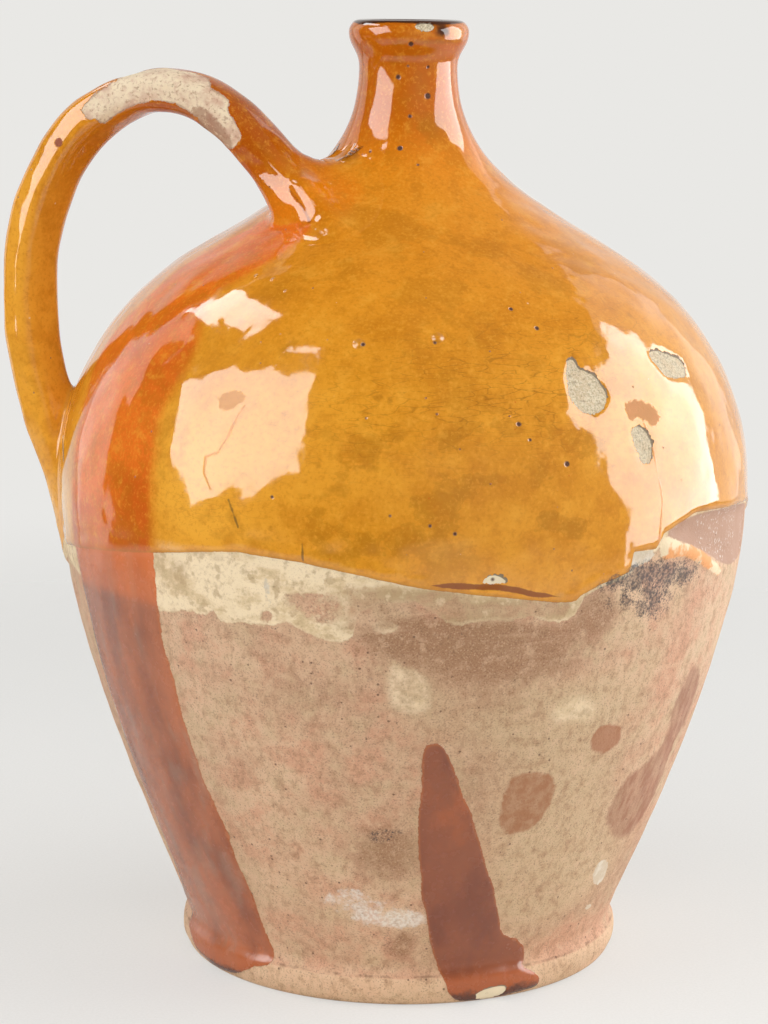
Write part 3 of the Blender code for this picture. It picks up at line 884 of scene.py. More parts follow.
def fillet_radius(points, outer):
    """How wide clay is smeared into the corner between handle and body, widest on the handle's outer side."""
    widest = FILLET_LOWER + (FILLET_UPPER - FILLET_LOWER) * smooth(points[:, 2], *FILLET_LEVELS)
    return FILLET_INNER + (widest - FILLET_INNER) * smooth(outer, *FILLET_SIDES)


def joined_distance(points):
    """Distance from the body and handle together, with clay smeared into the corner between them."""
    handle, outer = HANDLE.measure(points)
    body = body_distance(points)
    fillet = fillet_radius(points, outer)
    share = np.clip(0.5 + 0.5 * (handle - body) / fillet, 0, 1)
    return handle * (1 - share) + body * share - fillet * share * (1 - share)


def slope_of(distance, points, step=0.0002):
    """The direction and rate in which a distance grows."""
    slope = np.zeros_like(points)
    for axis in range(3):
        nudge = np.zeros(3)
        nudge[axis] = step
        slope[:, axis] = (distance(points + nudge) - distance(points - nudge)) / (2 * step)
    return slope


def moved_onto(distance, points, level, rounds=6):
    """Points moved to where a distance has a level."""
    for _ in range(rounds):
        slope = slope_of(distance, points)
        size = np.maximum((slope**2).sum(axis=1), LEAST_SLOPE_SQUARED)
        points = points - ((distance(points) - level) / size)[:, None] * slope
    return points


def seen_points(pixels):
    """The places on the jug that pixels show."""
    return first_met(pixels, joined_distance, JUG_RAY_STEPS)


def line_distance(line, points):
    """How far points are from an open line in space."""
    nearest = np.full(points.shape[:-1], np.inf)
    for start, end in zip(line[:-1], line[1:]):
        side, away = end - start, points - start
        share = np.clip(away @ side / (side @ side), 0, 1)
        nearest = np.minimum(nearest, np.linalg.norm(away - share[..., None] * side, axis=-1))
    return nearest


CREASE_PLACES = seen_points(CREASE)
TAIL_PLACES = seen_points(ROOT_TAIL)


def shaped_joint(points):
    """The joined distance, with the ridge and the pressed crease at the handle's upper root."""
    ridge = ROOT_TAIL_RISE * smooth(points[:, 2], *ROOT_TAIL_LEVELS)
    ridge = ridge * (1 - smooth(HANDLE.distance(points), *ROOT_TAIL_FADE))
    ridge = ridge * np.exp(-((line_distance(TAIL_PLACES, points) / ROOT_TAIL_REACH) ** 2))
    crease = CREASE_DEPTH * np.exp(-((line_distance(CREASE_PLACES, points) / CREASE_REACH) ** 2))
    return joined_distance(points) - ridge + crease


def body_columns():
    """Turns of the body's columns, closer together on the side that the camera sees."""
    front = np.arange(-FRONT_REACH, FRONT_REACH, FRONT_STEP)
    back = np.arange(FRONT_REACH, 360 - FRONT_REACH, BACK_STEP)
    degrees = np.concatenate([front, back])
    return np.radians(np.where(degrees > 180, degrees - 360, degrees))


def outer_rows():
    """Radius and height, outward slope and length of the outside's rows, closest together at foot and lip."""
    dense = np.linspace(0, OUTER_LENGTH[-1], ROW_SAMPLES)
    height = np.interp(dense, OUTER_LENGTH, OUTER[:, 1])
    step = np.where(height < NECK_ROWS_FROM, ROW_STEP, NECK_STEP)
    step = np.where(height < FOOT_ROWS_TOP, FOOT_STEP, step)
    step = np.where(height > LIP_ROWS_FROM, LIP_STEP, step)
    count = np.cumsum(np.gradient(dense) / step)
    length = np.interp(np.linspace(count[0], count[-1], int(count[-1])), count, dense)
    outer = np.stack([np.interp(length, OUTER_LENGTH, OUTER[:, i]) for i in (0, 1)], axis=1)
    soft = np.exp(-((length[:, None] - length[None]) / CORNER_SOFTENING) ** 2)
    soft[0, 1:] = 0
    soft[-1, :-1] = 0
    outer = soft @ outer / soft.sum(axis=1)[:, None]
    slope = unit(np.gradient(outer, axis=0))
    return outer, np.stack([slope[:, 1], -slope[:, 0]], axis=1), length


def inner_rows(outer, normal):
    """Radius and height of the rows from the crown down the mouth and the inside to its floor."""
    crown = LIP_RADIUS - CROWN_INSET
    bore = NECK_RADIUS - NECK_WALL
    mouth = quarter_round(
        (crown, JUG_HEIGHT - MOUTH_ROLL_HEIGHT), (0, MOUTH_ROLL_HEIGHT), (bore - crown, 0), MOUTH_ROWS
    )
    chosen = np.flatnonzero((outer[:, 1] > INNER_ROWS_FROM) & (outer[:, 1] < WAIST_LEVEL))
    chosen = chosen[np.linspace(0, len(chosen) - 1, INNER_ROWS).astype(int)]
    wall = BODY_WALL + (NECK_WALL - BODY_WALL) * smooth(outer[chosen, 1], SHOULDER_LEVEL, WAIST_LEVEL)
    inner = (outer[chosen] - normal[chosen] * wall[:, None])[::-1]
    floor = np.array([[inner[-1, 0] - FLOOR_INSET, FOOT_HEIGHT], [inner[-1, 0] / 2, FOOT_HEIGHT]])
    return np.vstack([mouth[1:], inner, floor])


def under_rows():
    """Radius and height of the flat underside's rows."""
    radius = np.linspace(0.0, FOOT_FLAT_RADIUS, BOTTOM_ROWS + 1)[1:-1]
    return np.stack([radius, np.zeros_like(radius)], axis=1)


def closed_grid(rings, first, last):
    """Points and faces of rings of points, with a point to close each end."""
    count, sides = rings.shape[:2]
    points = np.vstack([rings.reshape(-1, 3), first, last])
    index = np.arange(count * sides).reshape(count, sides)
    after = np.roll(index, -1, axis=1)
    quads = np.stack([index[:-1], after[:-1], after[1:], index[1:]], axis=-1).reshape(-1, 4)
    faces = [tuple(q) for q in quads.tolist()]
    top, bottom = count * sides + 1, count * sides
    faces += [(bottom, b, a) for a, b in zip(index[0].tolist(), after[0].tolist())]
    faces += [(top, a, b) for a, b in zip(index[-1].tolist(), after[-1].tolist())]
    return points, faces


def grid_map(rings, faces, spread):
    """Flat places for a closed grid's faces: turn across, row up, as fits a square picture."""
    count, sides = rings.shape[:2]
    places = []
    for face in faces:
        rows = [spread[min(v // sides, count - 1)] if v < count * sides else None for v in face]
        columns = [v % sides if v < count * sides else None for v in face]
        known = [c for c in columns if c is not None]
        wrap = max(known) - min(known) > 1
        turned = [c + sides if wrap and c == 0 else c for c in known]
        ends = [(t / sides, r) for t, r in zip(turned, [r for r in rows if r is not None])]
        if len(ends) < len(face):
            beyond = -MAP_TIP if ends[0][1] < 0.5 else MAP_TIP
            ends.insert(0, (sum(e[0] for e in ends) / 2, ends[0][1] + beyond))
        places += ends
    return np.array(places, np.float32)


def make_piece(name, rings, first, last, fields, spread, material):
    """A closed mesh of rings, with its fields, its flat map and its material."""
    points, faces = closed_grid(rings, first, last)
    points = np.clip(points, np.array(CAD_LOW), np.array(CAD_HIGH))
    mesh = bpy.data.meshes.new(name)
    mesh.from_pydata(points.tolist(), [], faces)
    for field, values in fields.items():
        ends = [values[0].mean(), values[-1].mean()]
        attribute = mesh.attributes.new(field, "FLOAT", "POINT")
        attribute.data.foreach_set("value", np.concatenate([values.ravel(), ends]).astype(np.float32))
    flat = mesh.uv_layers.new(name="OFBake")
    flat.data.foreach_set("uv", grid_map(rings, faces, spread).ravel())
    mesh.shade_smooth()
    mesh.materials.append(material)
    piece = bpy.data.objects.new(name, mesh)
    bpy.context.scene.collection.objects.link(piece)
    return piece


def body_fields(wall):
    """What coats and marks the outside, with painted shade and light, as millimetres inside each edge or as
    soft strengths.
    """
    fields = {name: wall.seen(*outlines) for name, outlines in PATCHES.items()}
    fields.update({name: wall.soft(blobs) for name, blobs in BLOTCHES.items()})
    fields["glaze"] = np.clip(wall.above(GLAZE_EDGE, BACK_GLAZE_EDGE), -FAR, FAR)
    fields["run"] = np.maximum(wall.seen(LEFT_RUN, FRONT_RUN), wall.behind(*BACK_RUNS))
    slip = np.clip(wall.above(SLIP_EDGE, BACK_SLIP_EDGE), -FAR, FAR)
    slip = np.minimum(slip, -np.maximum(fields["band"], wall.seen(SLIP_DOT)))
    slip = np.minimum(slip, np.maximum(-wall.seen(SLIP_HOLE), THIN_VEIL))
    fields["slip"] = np.maximum(slip, wall.seen(SLIP_LOBE))
    # Painted shade on the chips' upper right rims
    fields["chip_shaded_rim"] = wall.seen(*PATCHES["chip"], shift=CHIP_SHADE_SHIFT)
    fields["fold"] = np.clip(wall.above(FOLD_LINE, BACK_GLAZE_EDGE), -FAR, FAR)
    fields["fold_half"] = FOLD_HALF * wall.window(FOLD_ENDS) - FOLD_OFF
    height = np.interp(wall.length, OUTER_LENGTH, OUTER[:, 1])
    fields["burn"] = fields["burn"] + rises(height, CROWN_BURN_RISES)
    fields["tone"] = np.maximum(rises(height, TONE_RISES), np.minimum(wall.soft(ROOT_GLOW), 1.0))
    fields["deep"] = rises(height, DEEP_RISES)
    fields["left"] = 1 - smooth(wall.turn, *LEFT_SIDE_TURNS)
    fields["foot"] = np.clip((LEDGE_LEVEL - height) * 1000, -FAR, FAR)
    warm = rises(wall.above(WARM_EDGE, BACK_GLAZE_EDGE), WARM_RISES_MM)
    fields["warm"] = np.where(wall.turn < 0, warm, rises(height, WARM_RISES_BEHIND))
    fields["wear"] = np.full(wall.turn.shape, -FAR)
    return fields


def body_relief(wall, fields, points):
    """How far the surface stands out from the CAD wall, in metres."""
    coat = GLAZE_COAT * smooth(fields["glaze"], *GLAZE_RELIEF)
    coat = coat + GLAZE_BEAD * np.exp(-(((fields["glaze"] - BEAD_INSET_MM) / BEAD_REACH_MM) ** 2))
    for name, low, high, height in COAT_RELIEF:
        coat = np.maximum(coat, height * smooth(fields[name], low, high))
    for name, low, high, height in MARK_RELIEF:
        coat = coat + height * smooth(fields[name], low, high)
    fold = FOLD_DEPTH * (fields["fold_half"] + FOLD_OFF)
    coat = coat - fold * np.exp(-((fields["fold"] / FOLD_REACH_MM) ** 2))
    coat = coat - DENT_DEPTH * wall.soft(DENTS)
    coat = coat + LEDGE_RISE * (1 - smooth(points[..., 2], *LEDGE_EDGE))
    throwing = swells(points * THROWING_STRETCH, (THROWING_RINGS,))
    return coat - CLAY_DROP + (swells(points, BODY_SWELLS) + throwing)


def make_body(material):
    """The turned body, its outside raised by coats and marks."""
    outer, normal, length = outer_rows()
    under, inside = under_rows(), inner_rows(outer, normal)
    turn = body_columns()
    around = np.stack([np.sin(turn), -np.cos(turn)], axis=1)

    def turned(profile):
        flat = profile[:, None, :1] * around[None]
        return np.concatenate([flat, np.broadcast_to(profile[:, None, 1:], flat.shape[:2] + (1,))], axis=2)

    wall = Wall(*np.broadcast_arrays(turn[None, :], length[:, None]))
    fields = body_fields(wall)
    shell = turned(outer)
    relief = body_relief(wall, fields, shell) * smooth(shell[..., 2], 0.0, RELIEF_FADE_FOOT)
    relief = relief * (1 - smooth(shell[..., 2], JUG_HEIGHT - RELIEF_FADE_LIP, JUG_HEIGHT))
    shell = shell + turned(normal) * relief[..., None]
    rings = np.concatenate([turned(under), shell, turned(inside)])
    for name, values in fields.items():
        fields[name] = np.pad(values, ((len(under), len(inside)), (0, 0)), mode="edge")
    spread = np.concatenate([
        np.linspace(*MAP_UNDER, len(under)), np.interp(length, (0, length[-1]), MAP_WALL),
        np.linspace(*MAP_INSIDE, len(inside)),
    ])
    return make_piece("jug_body", rings, (0, 0, 0), (0, 0, FOOT_HEIGHT), fields, spread, material)


def swept_handle():
    """The swept handle's points and outward directions, ring by ring, its share along and its turn about."""
    turn = np.linspace(0, 2 * math.pi, HANDLE_SIDES, endpoint=False)
    power = 2 / HANDLE_SQUARENESS
    over = np.sign(np.cos(turn)) * np.abs(np.cos(turn)) ** power
    across = np.sign(np.sin(turn)) * np.abs(np.sin(turn)) ** power
    over = HANDLE_THICKNESS / 2 * HANDLE.scale[:, None] * over
    across = HANDLE_WIDTH / 2 * HANDLE.scale[:, None] * across
    cos, sin = np.cos(HANDLE.twist)[:, None], np.sin(HANDLE.twist)[:, None]
    level = over * cos - across * sin
    side = over * sin + across * cos
    rings = HANDLE.to_world(HANDLE.line[:, None] + HANDLE.outward[:, None] * level[..., None], side)
    middle = HANDLE.to_world(HANDLE.line, np.zeros(len(HANDLE.line)))
    away = unit(rings - middle[:, None])
    share = np.broadcast_to(np.minimum(HANDLE.length / HANDLE.total, 1.0)[:, None], rings.shape[:2])
    return rings, away, share, np.broadcast_to(turn, rings.shape[:2])


def body_entries(rings):
    """The ring numbers at which each lengthwise line of the handle comes out of the body and goes back in."""
    gap = body_distance(rings.reshape(-1, 3)).reshape(rings.shape[:2])
    middle = len(rings) // 2
    entries = []
    for line in gap.T:
        low = np.flatnonzero(line[:middle] < 0)[-1]
        high = middle + np.flatnonzero(line[middle:] < 0)[0]
        entries.append((
            low + line[low] / (line[low] - line[low + 1]), high - line[high] / (line[high] - line[high - 1])
        ))
    return np.array(entries).T


def between(values, places):
    """Values of rings at fractional ring numbers, one for each line."""
    low = np.clip(places.astype(int), 0, len(values) - 2)
    part = (places - low).reshape(places.shape + (1,) * (values.ndim - 2))
    lines = np.arange(values.shape[1])
    return values[low, lines] * (1 - part) + values[low + 1, lines] * part


def skirt(edge):
    """Rings that go on from where the handle meets the body, outwards over the body."""
    apart = slope_of(HANDLE.distance, edge)
    normal = unit(slope_of(body_distance, edge))
    way = unit(apart - (apart * normal).sum(axis=1)[:, None] * normal)
    reach = SKIRT_REACH_RATIO * fillet_radius(edge, HANDLE.measure(edge)[1]) + SKIRT_REACH_MORE
    rings = []
    for step in range(1, SKIRT_RINGS + 1):
        moved = edge + way * (reach * step / SKIRT_RINGS)[:, None]
        rings.append(moved_onto(body_distance, moved, 0.0, RESETTLE_ROUNDS))
    return np.array(rings)


def make_handle(material):
    """The swept handle, carried on over the body by a skirt at each root."""
    swept, away, share, turn = swept_handle()
    low, high = body_entries(swept)
    places = low + (high - low) * np.linspace(0, 1, HANDLE_RINGS)[:, None]
    lower, upper = skirt(between(swept, low[None])[0]), skirt(between(swept, high[None])[0])

    def whole(values):
        """Values along the handle, repeated over the skirts at both ends."""
        main = between(values, places)
        ends = (SKIRT_RINGS,) + main.shape[1:]
        return np.concatenate([np.broadcast_to(main[:1], ends), main, np.broadcast_to(main[-1:], ends)])

    rings = np.concatenate([lower[::-1], between(swept, places), upper])
    away, share, turn = unit(whole(away)), whole(share), whole(turn)
    points = rings.reshape(-1, 3)
    wall = Wall(np.arctan2(rings[..., 0], -rings[..., 1]), length_at(rings[..., 2]))
    on_body = body_fields(wall)
    past = HANDLE.distance(points) - body_distance(points)
    near = smooth(past, -ROOT_BLEND, ROOT_BLEND).reshape(share.shape)
    pixels = to_pixels(points)
    facing = (unit(CAMERA_PLACE - rings) * away).sum(axis=2)

    def seen(outline):
        """Millimetres inside an outline in pixels, on the side that faces the camera."""
        distance = signed_distance(rounded(np.asarray(outline, float)), pixels) / PIXELS_PER_MM
        distance = np.clip(distance, -FAR, FAR).reshape(facing.shape)
        return np.minimum(distance, (facing - FACING_EDGE) * FACING_SLOPE)

    own = handle_fields(share, turn, seen)
    lumps = swells(rings, HANDLE_SWELLS) - HANDLE_DROP - WEAR_DEPTH * smooth(own["wear"], *WEAR_RELIEF)
    rise = lumps * (1 - near) + body_relief(wall, on_body, rings) * near
    rise[:2] -= np.array(END_SINK)[:, None]
    rise[-2:] -= np.array(END_SINK[::-1])[:, None]
    rings = moved_onto(shaped_joint, points, rise.ravel()).reshape(rings.shape)
    fields = {name: values * (1 - near) + on_body[name] * near for name, values in own.items()}
    fields["chip"], fields["chip_shaded_rim"] = on_body["chip"], own["chip_shaded_rim"]
    sunk = moved_onto(body_distance, rings[[0, -1]].reshape(-1, 3), -BURIED_DEPTH, RESETTLE_ROUNDS)
    sunk = sunk.reshape(2, -1, 3)
    rings = np.concatenate([sunk[:1], rings, sunk[1:]])[:, ::-1]
    fields = {name: values[[0, *range(len(values)), -1]][:, ::-1] for name, values in fields.items()}
    spread = np.linspace(*MAP_HANDLE, len(rings))
    ends = rings[0].mean(axis=0), rings[-1].mean(axis=0)
    return make_piece("jug_handle", rings, *ends, fields, spread, material)


def handle_fields(share, turn, seen):
    """What coats the handle, and the painted shade and light on it, by the same names as on the body."""
    fields = {name: np.full(share.shape, -FAR) for name in (*PATCHES, "run", "fold_half", "foot")}
    fields.update({name: np.zeros(share.shape) for name in (*BLOTCHES, "left")})
    fields.update({name: np.full(share.shape, FAR) for name in ("glaze", "slip", "chip_shaded_rim")})
    for name, (first, last, low, high) in HANDLE_CHANGES.items():
        fields[name] = first + (last - first) * smooth(share, low, high)
    fields["wear"] = seen(HANDLE_WEAR)
    fields["brown"] = smooth(seen(WEAR_STAIN), *WEAR_STAIN_EDGE)
    strength, start, end = DEEP_MIDDLE
    middle = strength * smooth(share, *start) * (1 - smooth(share, *end))
    # Painted shade on the inner side of the loop
    strength, start, side = DEEP_INSIDE
    fields["deep"] = np.maximum(middle, strength * smooth(share, *start) * smooth(-np.cos(turn), *side))
    fields["warm"] = np.ones(share.shape)
    return fields


def ragged(field, fine, coarse):
    """A field with its edge roughened by fine and coarse noise, in the field's own units."""
    return (field, ("grain", fine), ("mottle", coarse))


# Noises by name: scale per metre, detail, roughness, and stretch along x, y and z
EVEN = (1.0, 1.0, 1.0)
NOISES = {
    "fine": (1500.0, 2.0, 0.6, EVEN),
    "grain": (800.0, 2.0, 0.6, EVEN),
    "mottle": (230.0, 3.0, 0.6, EVEN),
    "drift": (72.0, 4.0, 0.6, EVEN),
    "fibres": (420.0, 5.0, 0.7, EVEN),
    "clay_broad": (24.0, 3.0, 0.55, EVEN),
    "clay_cast": (11.0, 2.0, 0.5, EVEN),
    "clay_wiped": (420.0, 3.0, 0.6, (1.0, 1.0, 0.35)),
    "clay_turned": (330.0, 2.0, 0.5, (0.10, 0.10, 1.0)),
    "slip_strokes": (120.0, 4.0, 0.65, (0.6, 0.6, 1.0)),
    "run_flow": (60.0, 4.0, 0.6, (1.0, 1.0, 0.3)),
    "run_dust_and_sheen": (110.0, 3.0, 0.6, (1.0, 1.0, 0.12)),
    "stain_streaks": (240.0, 3.0, 0.6, (1.0, 1.0, 0.2)),
    "glaze_broad": (30.0, 4.0, 0.6, (0.6, 0.6, 1.0)),
    "glaze_tide": (52.0, 4.0, 0.58, (0.75, 0.75, 1.0)),
    "glaze_ripple": (85.0, 2.0, 0.5, EVEN),
    "floor_weave": (900.0, 2.0, 0.5, EVEN),
}

# Layers of colour: the noise, field or roughened field that one follows, the values at which it starts
# and is full, its strength and its colour
CLAY_LAYERS = (
    ("clay_broad", 0.38, 0.64, 1.0, CLAY_PALE),
    ("drift", 0.48, 0.64, 0.85, CLAY_ROSE),
    ("drift", 0.50, 0.34, 0.65, CLAY_BEIGE),
    ("clay_cast", 0.48, 0.66, 0.40, CLAY_BROWN),
    (("beige", ("drift", 0.8)), 0.2, 0.9, 0.8, CLAY_BEIGE),
    (("rose", ("drift", 0.8)), 0.2, 0.9, 0.75, CLAY_ROSE),
    (("brown", ("drift", 0.9)), 0.2, 1.0, 0.85, CLAY_BROWN),
    (ragged("foot", 0.6, 1.4), -0.3, 0.5, 0.6, CLAY_FOOT),
    ("mottle", 0.50, 0.70, 0.45, CLAY_BROWN),
    ("mottle", 0.47, 0.30, 0.42, CLAY_PALE),
    ("clay_wiped", 0.50, 0.70, 0.36, CLAY_BROWN),
    ("clay_turned", 0.54, 0.74, 0.30, CLAY_PALE),
    ("fine", 0.53, 0.70, 0.50, CLAY_DARK),
    ("fine", 0.46, 0.28, 0.50, CLAY_PALE),
)
SLIP_LAYERS = (
    ("slip_strokes", 0.42, 0.58, 1.0, SLIP_PALE),
    ("slip_strokes", 0.46, 0.34, 0.50, SLIP_GREY),
    (("dusk", ("drift", 0.8)), 0.2, 1.0, 0.85, SLIP_GREY),
    ("mottle", 0.50, 0.66, 0.55, SLIP_GREY),
    ("mottle", 0.45, 0.32, 0.50, SLIP_PALE),
)
SLIP_GRIME = (("fine", 0.54, 0.74, 0.32, CLAY_BROWN),)
RUN_LAYERS = (
    ("run_flow", 0.46, 0.68, 0.8, RUN_DARK),
    ("run_flow", 0.44, 0.28, 0.5, RUN_ORANGE),
)
RUN_EDGES = (
    ("run", 1.3, 0.2, 0.4, RUN_RIM),
    ("foot", -2.0, 2.0, 0.7, RUN_ORANGE),
    (ragged("foot", 3.0, 6.0), 5.5, 8.5, 0.85, RUN_BLACK),
    ("grain", 0.56, 0.76, 0.35, RUN_DARK),
)
HONEY_LAYERS = (("glaze_broad", 0.38, 0.66, 1.0, HONEY_DEEP),)
# The golden tone is partly painted sheen round the highlights and on the handle's left limb
HONEY_TONES = (("gold_and_sheen", HONEY_PALE), ("tone", AMBER), ("deep", DEEP_AMBER))
# The cream is partly a painted highlight
HONEY_CREAM_AND_HIGHLIGHT = ((("cream_and_highlight", ("mottle", 0.6)), 0.2, 0.9, 0.8, GLAZE_CREAM_AND_HIGHLIGHT),)
ORANGE_LAYERS = (("glaze_broad", 0.42, 0.66, 1.0, ORANGE_DEEP),)
GLAZE_LAYERS = (
    ("drift", 0.50, 0.62, 0.32, HONEY_SHADE),
    ("drift", 0.44, 0.30, 0.35, HONEY_PALE),
    ("mottle", 0.52, 0.72, 0.34, HONEY_SHADE),
    ("mottle", 0.46, 0.28, 0.34, HONEY_PALE),
    ("grain", 0.52, 0.70, 0.32, HONEY_SHADE),
    ("grain", 0.47, 0.30, 0.30, HONEY_PALE),
    ("glaze", 1.6, 0.2, 0.45, CLOUD_BROWN),
)
CHIP_LAYERS = (
    ("fine", 0.34, 0.68, 1.0, CHIP_SAND),
    ("mottle", 0.46, 0.62, 0.4, CLAY_BEIGE),
    ("grain", 0.54, 0.70, 0.45, CHIP_DARK),
    ("fold", 6.0, 4.0, 1.0, CHIP_CREAM),
    # Painted shade on the chips' upper right rims
    ("chip_shaded_rim", 0.0, -0.3, 0.8, CHIP_DARK),
)
WORN_LAYERS = (
    ("drift", 0.44, 0.62, 1.0, WEAR_ROSE),
    ("fibres", 0.50, 0.66, 0.6, WEAR_ROSE),
    (("brown", ("fibres", 1.4)), 0.3, 0.9, 0.65, WEAR_DARK),
    ("fibres", 0.45, 0.30, 0.6, SLIP_PALE),
    ("grain", 0.54, 0.70, 0.50, WEAR_DARK),
    ("wear", 0.8, 0.0, 0.5, WEAR_DARK),
)
FLAKE_LAYERS = (("mottle", 0.45, 0.65, 0.5, CHALK),)
RIDGE_LAYERS = (("drift", 0.46, 0.56, 1.0, RIDGE_ORANGE),)
BALD_LAYERS = (("mottle", 0.42, 0.64, 1.0, FAINT_TAN),)

# Shares, as steps multiplied together: what each follows, where it starts and ends, and the values there
SLIP_RIM = (("slip", 1.6, 0.3), ("mottle", 0.42, 0.6, 0.0, 0.4))
# Painted light on the run's left side: paler where lit, and grey streaks of dust and painted sheen
RUN_LIT = (0.64, 0.38, 0.15, 0.60)
RUN_DUST_AND_SHEEN = (0.50, 0.68, 0.0, 0.38)
FACET_SPARKLE = (("grain", 0.56, 0.70, 0.0, 0.7), ("drift", 0.46, 0.60))
FOOT_LINE = ("foot", -0.6, 0.7, 0.1)
FOOT_LINE_BREAKS = ("mottle", 0.42, 0.62, 0.0, 0.5)
CLOUD_BREAKS = ("glaze_tide", 0.36, 0.64)
CLOUD_SPREAD = 1.1
CLOUD_EDGE = (0.30, 0.80)
CLOUD_LINE = (0.30, 0.25, 0.0, 0.22)
CLOUD_LINE_PLACES = ("cloud", 0.10, 0.40)
FOLD_RAGGED = ("mottle", 1.0)
FOLD_EDGE = (-0.1, 0.35, 0.0, 0.85)
SLIP_WORN = ("mottle", 0.40, 0.64, -0.1, 0.4)
SLIP_THINNED = (0.2, 1.2, 1.0, 0.30)
SOOT_SPREAD = 1.5
SOOT_EDGE = (0.15, 1.0)
SOOT_CLUMPS = (("mottle", 0.32, 0.68, 0.0, 0.6), ("fine", 0.36, 0.64, 0.0, 0.4))
SOOT_PLACES = (("soot", 0.08, 0.40, 0.0, 0.85), ("grain", 0.36, 0.60, 0.45, 1.0))
COATS = {
    "glaze": ((ragged("glaze", 0.25, 0.5), -0.15, 0.15),),
    "run": ((ragged("run", 0.9, 1.8), -0.15, 0.15),),
    "slip": ((ragged("slip", 1.8, 3.4), -0.5, 0.7),),
    "under": ((ragged("slip", 1.2, 3.0), -3.2, 0.6), (ragged("band", 2.0, 4.0), -5.0, 5.0, 1.0, 0.0)),
    "patch": ((ragged("patch", 3.0, 6.0), -1.6, 2.4), ("mottle", 0.34, 0.64, 0.80, 0.45)),
    "spot": ((ragged("spot", 1.4, 2.6), -0.8, 1.2), ("mottle", 0.36, 0.64, 0.65, 0.92)),
    "stain": ((ragged("stain", 2.8, 5.0), -1.4, 2.0), ("stain_streaks", 0.36, 0.66, 0.45, 0.85)),
    "mark": ((ragged("mark", 1.4, 2.2), -0.8, 0.9, 0.0, 0.75),),
    "chip": ((ragged("chip", 1.8, 3.0), -0.12, 0.12),),
    "wear": ((ragged("wear", 1.6, 2.8), -0.15, 0.15),),
    "facet": ((ragged("facet", 1.0, 1.4), -0.4, 0.4),),
    "ridge": ((ragged("ridge", 1.4, 2.2), -0.2, 0.7),),
    "flake": ((ragged("flake", 1.6, 2.6), -0.3, 0.3),),
    "bald": ((ragged("bald", 2.2, 3.6), -0.5, 0.7),),
    "faint": ((ragged("faint", 2.0, 3.6), -0.5, 0.6, 0.0, 0.65),),
    "burn": ((("burn", ("mottle", 0.5)), 0.3, 0.9),),
    "chalk": (
        (("chalk", ("mottle", 2.4)), 0.30, 1.10), ("chalk", 0.08, 0.55, 0.0, 0.75),
        ("grain", 0.38, 0.60, 0.45, 1.0),
    ),
}
# Thin lines: their pixels, half width and edge in millimetres, strength
LINES = {
    "crack": (CRACKS, 0.15, 0.5, 0.55),
    "scratch": (SCRATCHES, 0.15, 0.5, 0.7),
    # The crease's dark line is painted shade in the pressed groove at the handle's upper root
    "crease": ((CREASE,), 0.25, 0.9, 0.7),
    "nick": ((HANDLE_NICK,), 0.8, 0.4, 1.0),
}
LINE_WANDER = 0.0012
# Placed dots: their pixels, and metres outside them where they start and are full
PLACED_DOTS = {
    "pins_and_pimple_shade": (PINHOLES_AND_PIMPLE_SHADE, 0.0003, -0.0004),
    "pimples": (PIMPLES, 0.0, -0.0022),
    "blot": (HANDLE_BLOTS, 0.0003, -0.0003),
}
# Strewn dots: scale per metre, size in spacings, share of the places
SPECKS = (170.0, 0.085, 0.24)
EMBERS = (260.0, 0.10, 0.10)
GLINTS = (115.0, 0.055, 0.25)
PIT_SCALE = 300.0
PIT_SIZE = 0.17
PIT_CROWD = ("drift", 0.40, 0.70, 0.04, 0.35)
PITTED_CROWD = 0.45
DOT_EDGE_RATIO = 0.55
MATT_COATS = ("chip", "wear", "pins_and_pimple_shade", "ridge", "bald", "specks", "faint", "crack", "blot")

# Strengths of single marks
PIT_SHADE = 0.75
SPECK_SHADE = 0.75
EMBER_GLOW = 0.6
GLINT_GLOW = 0.5
COLD_ORANGE = 0.8
CLOUD_SHADE = 0.50

# Roughness: steps on the mottle
CLAY_ROUGH = ("mottle", 0.3, 0.7, 0.80, 0.93)
RUN_ROUGH = ("mottle", 0.3, 0.75, 0.16, 0.34)
GLAZE_ROUGH = ("mottle", 0.3, 0.8, 0.04, 0.10)
MATT_ROUGH = 0.85
GLAZE_IOR = 1.56

# Fine height in the material, in millimetres, and that unit in metres
BUMP_UNIT = 0.001
GRAIN_GRIT = 0.14
FINE_GRIT = 0.10
PIT_HOLE = 0.30
BROAD_RIPPLE = 0.15
MOTTLE_RIPPLE = 0.020
GLAZE_STEP = 0.25
SLIP_STEP = 0.10
PIN_HOLE = 0.4
PIMPLE_BUMP = 1.1
CHIP_STEP = 0.35

# Crazing: metres and scales per metre
CRAZE_BEND = 0.002
CRAZE_BEND_SCALE = 150.0
CRAZE_STRETCH = (0.30, 0.30, 1.6)
CRAZE_SCALE = 310.0
CRAZE_LINE = (0.050, 0.008)
CRAZE_BREAKS = ("mottle", 0.36, 0.58)
CRAZE_GAIN = 0.48
CRAZE_BASE = 0.04


